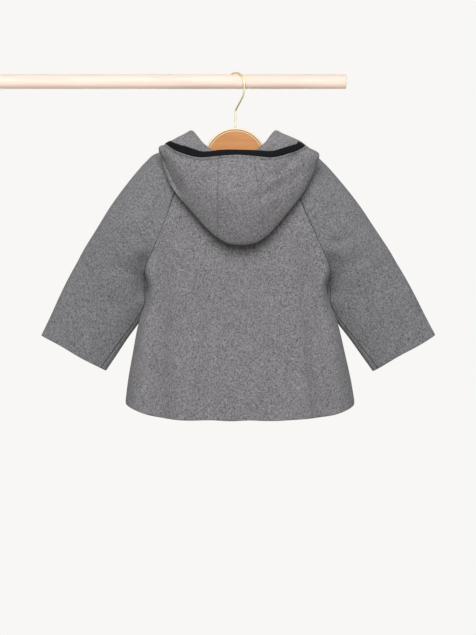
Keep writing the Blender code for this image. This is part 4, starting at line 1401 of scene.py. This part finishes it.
# the buttons down the centre front, each turned to the slope of the cloth under it
def makeButtons():
    front = panelGrids["front_right"][:, ::-1]
    middleY, middleZ = (np.array([np.interp(0, row[:, 0], row[:, k]) for row in front]) for k in (1, 2))
    disc = buttonDisc()
    acrossX = np.array([-1.0, 0.0, 0.0])
    for number in range(1, buttons["count"] + 1):
        z = buttons["firstZ"] - buttons["pitch"] * (number - 1)
        y, below = np.interp([-z, -z + buttons["slopeOver"]], -middleZ, middleY)
        axis = unit(np.array([0.0, 1.0, (below - y) / buttons["slopeOver"]]))
        upZ = np.cross(axis, acrossX)
        centre = leaned(np.array([0.0, y + buttons["clear"], z]))
        place = lambda p: centre + p[..., :1] * acrossX + p[..., 1:2] * upZ + p[..., 2:3] * axis
        points = place(disc).reshape(-1, 3)
        piece = meshObject(f"coat_button_{number}", points, ringQuads(disc.shape[:2]), buttonLook)
        enter(piece, f"button_{number}")
        enter(sweptObject(f"thread_button_{number}", threadRings(place), blackThread))
    print("buttons made", buttons["count"])


makeButtons()


hanger = {
    "thick": 12.0,
    "edge": 2.5,
    "domeRadius": 47.0,
    "domeTopZ": -69.5,
    "domeSpread": 1.25,
    "armEnd": 11.0,
    "armTop": [(58.0, -104.2), (85.0, -107.2), (113.0, -112.6)],
    "armFoot": [(80.0, -132.0), (45.0, -128.0), (20.0, -125.5), (0.0, -125.0)],
    "points": 360,
    "lineInset": 3.6,
    "lineDepth": 0.5,
    # in from the line, how deep in the groove, how much painted highlight and how much painted shade each ring of the
    # face has
    "lineRings": [
        (1.9, 0, 0.0, 0),
        (1.4, 0, 0.8, 0),
        (0.8, 0, 0.8, 0),
        (0.5, 1, 0.0, 1),
        (-0.3, 1, 0.5, 1),
    ],
    "capInset": 9.0,
    "spineX": 104.0,
    "spineZ": (-122.0, -117.0),
    "edgeSteps": 10,
    "domeSteps": 60,
    "tipStart": 0.5,
    "tipSteps": 24,
}


# the board's outline: dome, arm, round end and arched foot of one side, then the same mirrored, evenly spaced
def hangerOutline():
    radius, top = hanger["domeRadius"], hanger["domeTopZ"]
    turn = np.linspace(0, hanger["domeSpread"], hanger["domeSteps"])
    dome = np.stack([radius * np.sin(turn), top - radius + radius * np.cos(turn)], axis=1)
    endX, endZ = hanger["armTop"][-1][0], hanger["armTop"][-1][1] - hanger["armEnd"]
    turn = np.linspace(hanger["tipStart"], math.pi, hanger["tipSteps"])
    tip = np.stack([endX + hanger["armEnd"] * np.sin(turn), endZ + hanger["armEnd"] * np.cos(turn)], axis=1)
    right = np.concatenate([dome, hanger["armTop"], tip, hanger["armFoot"]])
    left = right[::-1] * np.array([-1, 1])
    whole = np.concatenate([right, left[1:]])
    spaced = alongLine(np.insert(whole, 1, 0.0, axis=1), np.linspace(0, 1, hanger["points"], endpoint=False))
    return spaced[:, [0, 2]]


# the hanger: rings of the outline set in by a profile with a round edge and a fine groove, closed onto a spine
def makeHanger():
    outline = hangerOutline()
    tangent = unit(np.roll(outline, -1, axis=0) - np.roll(outline, 1, axis=0))
    inward = np.stack([tangent[:, 1], -tangent[:, 0]], axis=1)
    half, edge = hanger["thick"] / 2, hanger["edge"]
    face = [
        (-half + hanger["lineDepth"] * deep, hanger["lineInset"] + inset, pale, dark)
        for inset, deep, pale, dark in hanger["lineRings"]
    ]
    turn = np.linspace(math.pi / 2, 0, hanger["edgeSteps"])
    bevel = [(-half + edge * (1 - math.sin(a)), edge * (1 - math.cos(a)), 1, 0) for a in turn]
    front = np.array([(-half, hanger["capInset"], 0, 0)] + face + bevel)
    profile = np.concatenate([front, front[::-1] * np.array([-1, 1, 1, 1])])
    moved = outline + inward * profile[:, 1, None, None]
    level = np.repeat(profile[:, 0, None], len(outline), axis=1)
    rings = np.stack([moved[:, :, 0], level, moved[:, :, 1]], axis=2)
    lowest = np.array([-hanger["spineX"], -half, hanger["spineZ"][0]])
    highest = np.array([hanger["spineX"], -half, hanger["spineZ"][1]])
    spine = np.clip(rings[:1], lowest, highest)
    points = np.concatenate([spine, rings, spine * np.array([1, -1, 1])])
    wide = lambda k: np.repeat(np.pad(profile[:, k], 1)[:, None], len(outline), axis=1)
    # marks for the painted highlight on the rim and beside the groove, and for the painted shade in the groove
    marks = {"rim": wide(2), "paintedGrooveShade": wide(3)}
    piece = meshObject("board_hanger", points.reshape(-1, 3), ringQuads(points.shape[:2]), hangerWood, marks)
    enter(piece, "hanger")


hook = {
    "wire": 1.35,
    "clear": 0.3,
    "radius": 20.0,
    "turnDeg": 48.0,
    "tipDeg": 182.0,
    "startDeg": -12.0,
    "farStretch": 1.25,
    # out and z of the shank and the bend above it
    "bend": [
        (0.0, -69.2),
        (0.0, -56.0),
        (0.0, -47.0),
        (0.9, -42.6),
        (6.6, -35.6),
        (12.8, -28.6),
        (17.4, -22.6),
        (19.3, -17.0),
    ],
    "raised": 0.5,
    "ringKnots": 15,
    "finePerKnot": 30,
    "leastTip": 0.01,
    "rodRadius": 11.0,
    "points": 150,
    "sides": 24,
}


# the hook: a round wire carried up the shank, out in a bend and round the rod, with a half round tip
def makeHook():
    wire = hook["wire"]
    centreZ = hook["rodRadius"] + hook["clear"] + wire - hook["radius"] + hook["raised"]
    turns = np.radians(np.linspace(hook["startDeg"], hook["tipDeg"], hook["ringKnots"]))
    wide = hook["radius"] * np.where(np.cos(turns) < 0, hook["farStretch"], 1.0)
    ring = np.stack([wide * np.cos(turns), centreZ + hook["radius"] * np.sin(turns)], axis=1)
    knots = np.insert(np.concatenate([hook["bend"], ring]), 1, 0.0, axis=1)
    fine = through(knots, np.linspace(0, len(knots) - 1, hook["finePerKnot"] * len(knots)))
    line = alongLine(fine, np.linspace(0, 1, hook["points"]))
    turn = math.radians(hook["turnDeg"])
    path = np.stack([line[:, 0] * math.cos(turn), -line[:, 0] * math.sin(turn), line[:, 2]], axis=1)
    left = runAlong(path)[-1] - runAlong(path)
    size = wire * np.sqrt(np.clip(1 - (np.clip(wire - left, 0, None) / wire) ** 2, hook["leastTip"], 1))
    plane = np.array([math.sin(turn), math.cos(turn), 0.0])  # across the hook's own plane, so frames never twist
    first = np.repeat(plane[None], len(path), axis=0)
    second = np.cross(unit(np.gradient(path, axis=0)), first)
    piece = sweptObject("wire_hook", circleRings(path, first, second, size, hook["sides"]), brass)
    enter(piece, "hook")


rod = {
    "radius": 11.0,
    "left": -372.0,
    "right": 166.0,
    "chamfer": 1.0,
    # along and in from the full rod at each ring of the round, in shares of the chamfer
    "roundAlong": (0.0, 0.15, 0.4, 1.0),
    "roundIn": (1.0, 0.5, 0.2, 0.0),
    "faceRings": (4.0, 9.0),
    "cutWithin": 10.7,
    "sides": 96,
    "steps": 90,
}


# the rod: circles along X, with a small round at each cut end and flat faces ringed like cut wood
def makeRod():
    chamfer, left, right = rod["chamfer"], rod["left"], rod["right"]
    soft, drop = chamfer * np.array(rod["roundAlong"]), chamfer * np.array(rod["roundIn"])
    middle = np.linspace(left + chamfer, right - chamfer, rod["steps"])[1:-1]
    x = np.concatenate([[left] * 2, left + soft, middle, right - soft[::-1], [right] * 2])
    full = rod["radius"] - np.concatenate([drop, 0 * middle, drop[::-1]])
    r = np.concatenate([rod["faceRings"], full, rod["faceRings"][::-1]])
    path = np.stack([x, 0 * x, 0 * x], axis=1)
    up, back = np.repeat([[[0.0, 0.0, 1.0]], [[0.0, 1.0, 0.0]]], len(x), axis=1)
    cut = np.repeat((r < rod["cutWithin"])[:, None].astype(float), rod["sides"], axis=1)
    piece = sweptObject("dowel_rod", circleRings(path, up, back, r, rod["sides"]), rodWood, {"cutEnd": cut})
    enter(piece, "rod")
    return piece


makeHanger()
makeHook()
rodPiece = makeRod()
print("hanger, hook and rod made")
light = {
    "aim": (0.0, 0.0, -0.3),
    "key": {"place": (-0.14, -3.3, 1.85), "size": 2.72, "power": 150.0},
    "fill": {"place": (0.2, -3.0, -0.6), "size": 2.0, "power": 4.0},
    "far": {"place": (0.1, 2.4, -0.75), "size": 2.0, "power": 34.0},
    "bounce": {"place": (-0.1, -1.6, -1.9), "size": 1.6, "power": 23.0},
    "paper": (0.939, 0.930, 0.913),
    "sky": 0.25,
    "shine": 0.8,
}


# soft square lamps turned to the coat, one for the rod alone, and a sky that is paper white to the camera
def makeLight():
    for name in ("key", "fill", "far", "bounce"):
        lamp = bpy.data.lights.new(name, "AREA")
        lamp.size = light[name]["size"]
        lamp.energy = light[name]["power"]
        holder = bpy.data.objects.new(name, lamp)
        holder.location = light[name]["place"]
        bpy.context.scene.collection.objects.link(holder)
        direction = np.array(light["aim"]) - np.array(light[name]["place"])
        yaw = math.atan2(direction[0], -direction[1])
        pitch = math.atan2(math.hypot(direction[0], direction[1]), -direction[2])
        holder.rotation_euler = (-pitch, 0.0, yaw)
        if name == "bounce":
            lit = bpy.data.collections.new("litByBounce")
            lit.objects.link(rodPiece)
            holder.light_linking.receiver_collection = lit
    world = bpy.data.worlds.new("sky")
    world.use_nodes = True
    tree = world.node_tree
    sky = tree.nodes["Background"]
    sky.inputs["Color"].default_value = (*light["paper"], 1.0)
    rays = tree.nodes.new("ShaderNodeLightPath")
    glow = mathNode(tree, "MULTIPLY_ADD", rays.outputs["Is Camera Ray"], 1 - light["sky"], light["sky"])
    shine = mathNode(tree, "MULTIPLY", rays.outputs["Is Glossy Ray"], light["shine"])
    tree.links.new(mathNode(tree, "MAXIMUM", glow, shine), sky.inputs["Strength"])
    bpy.context.scene.world = world
    bpy.context.scene.view_settings.view_transform = "Standard"


camera = {"place": (0.0039, -2.6, -0.3537), "sensor": 36.0, "lens": 98.27}


# the camera looks level along +Y, as the photograph does
def makeCamera():
    lens = bpy.data.cameras.new("camera")
    lens.sensor_fit = "VERTICAL"
    lens.sensor_height = camera["sensor"]
    lens.lens = camera["lens"]
    holder = bpy.data.objects.new("camera", lens)
    holder.location = camera["place"]
    holder.rotation_euler = (math.pi / 2, 0.0, 0.0)
    bpy.context.scene.collection.objects.link(holder)
    bpy.context.scene.camera = holder


makeLight()
makeCamera()
print("light and camera made")
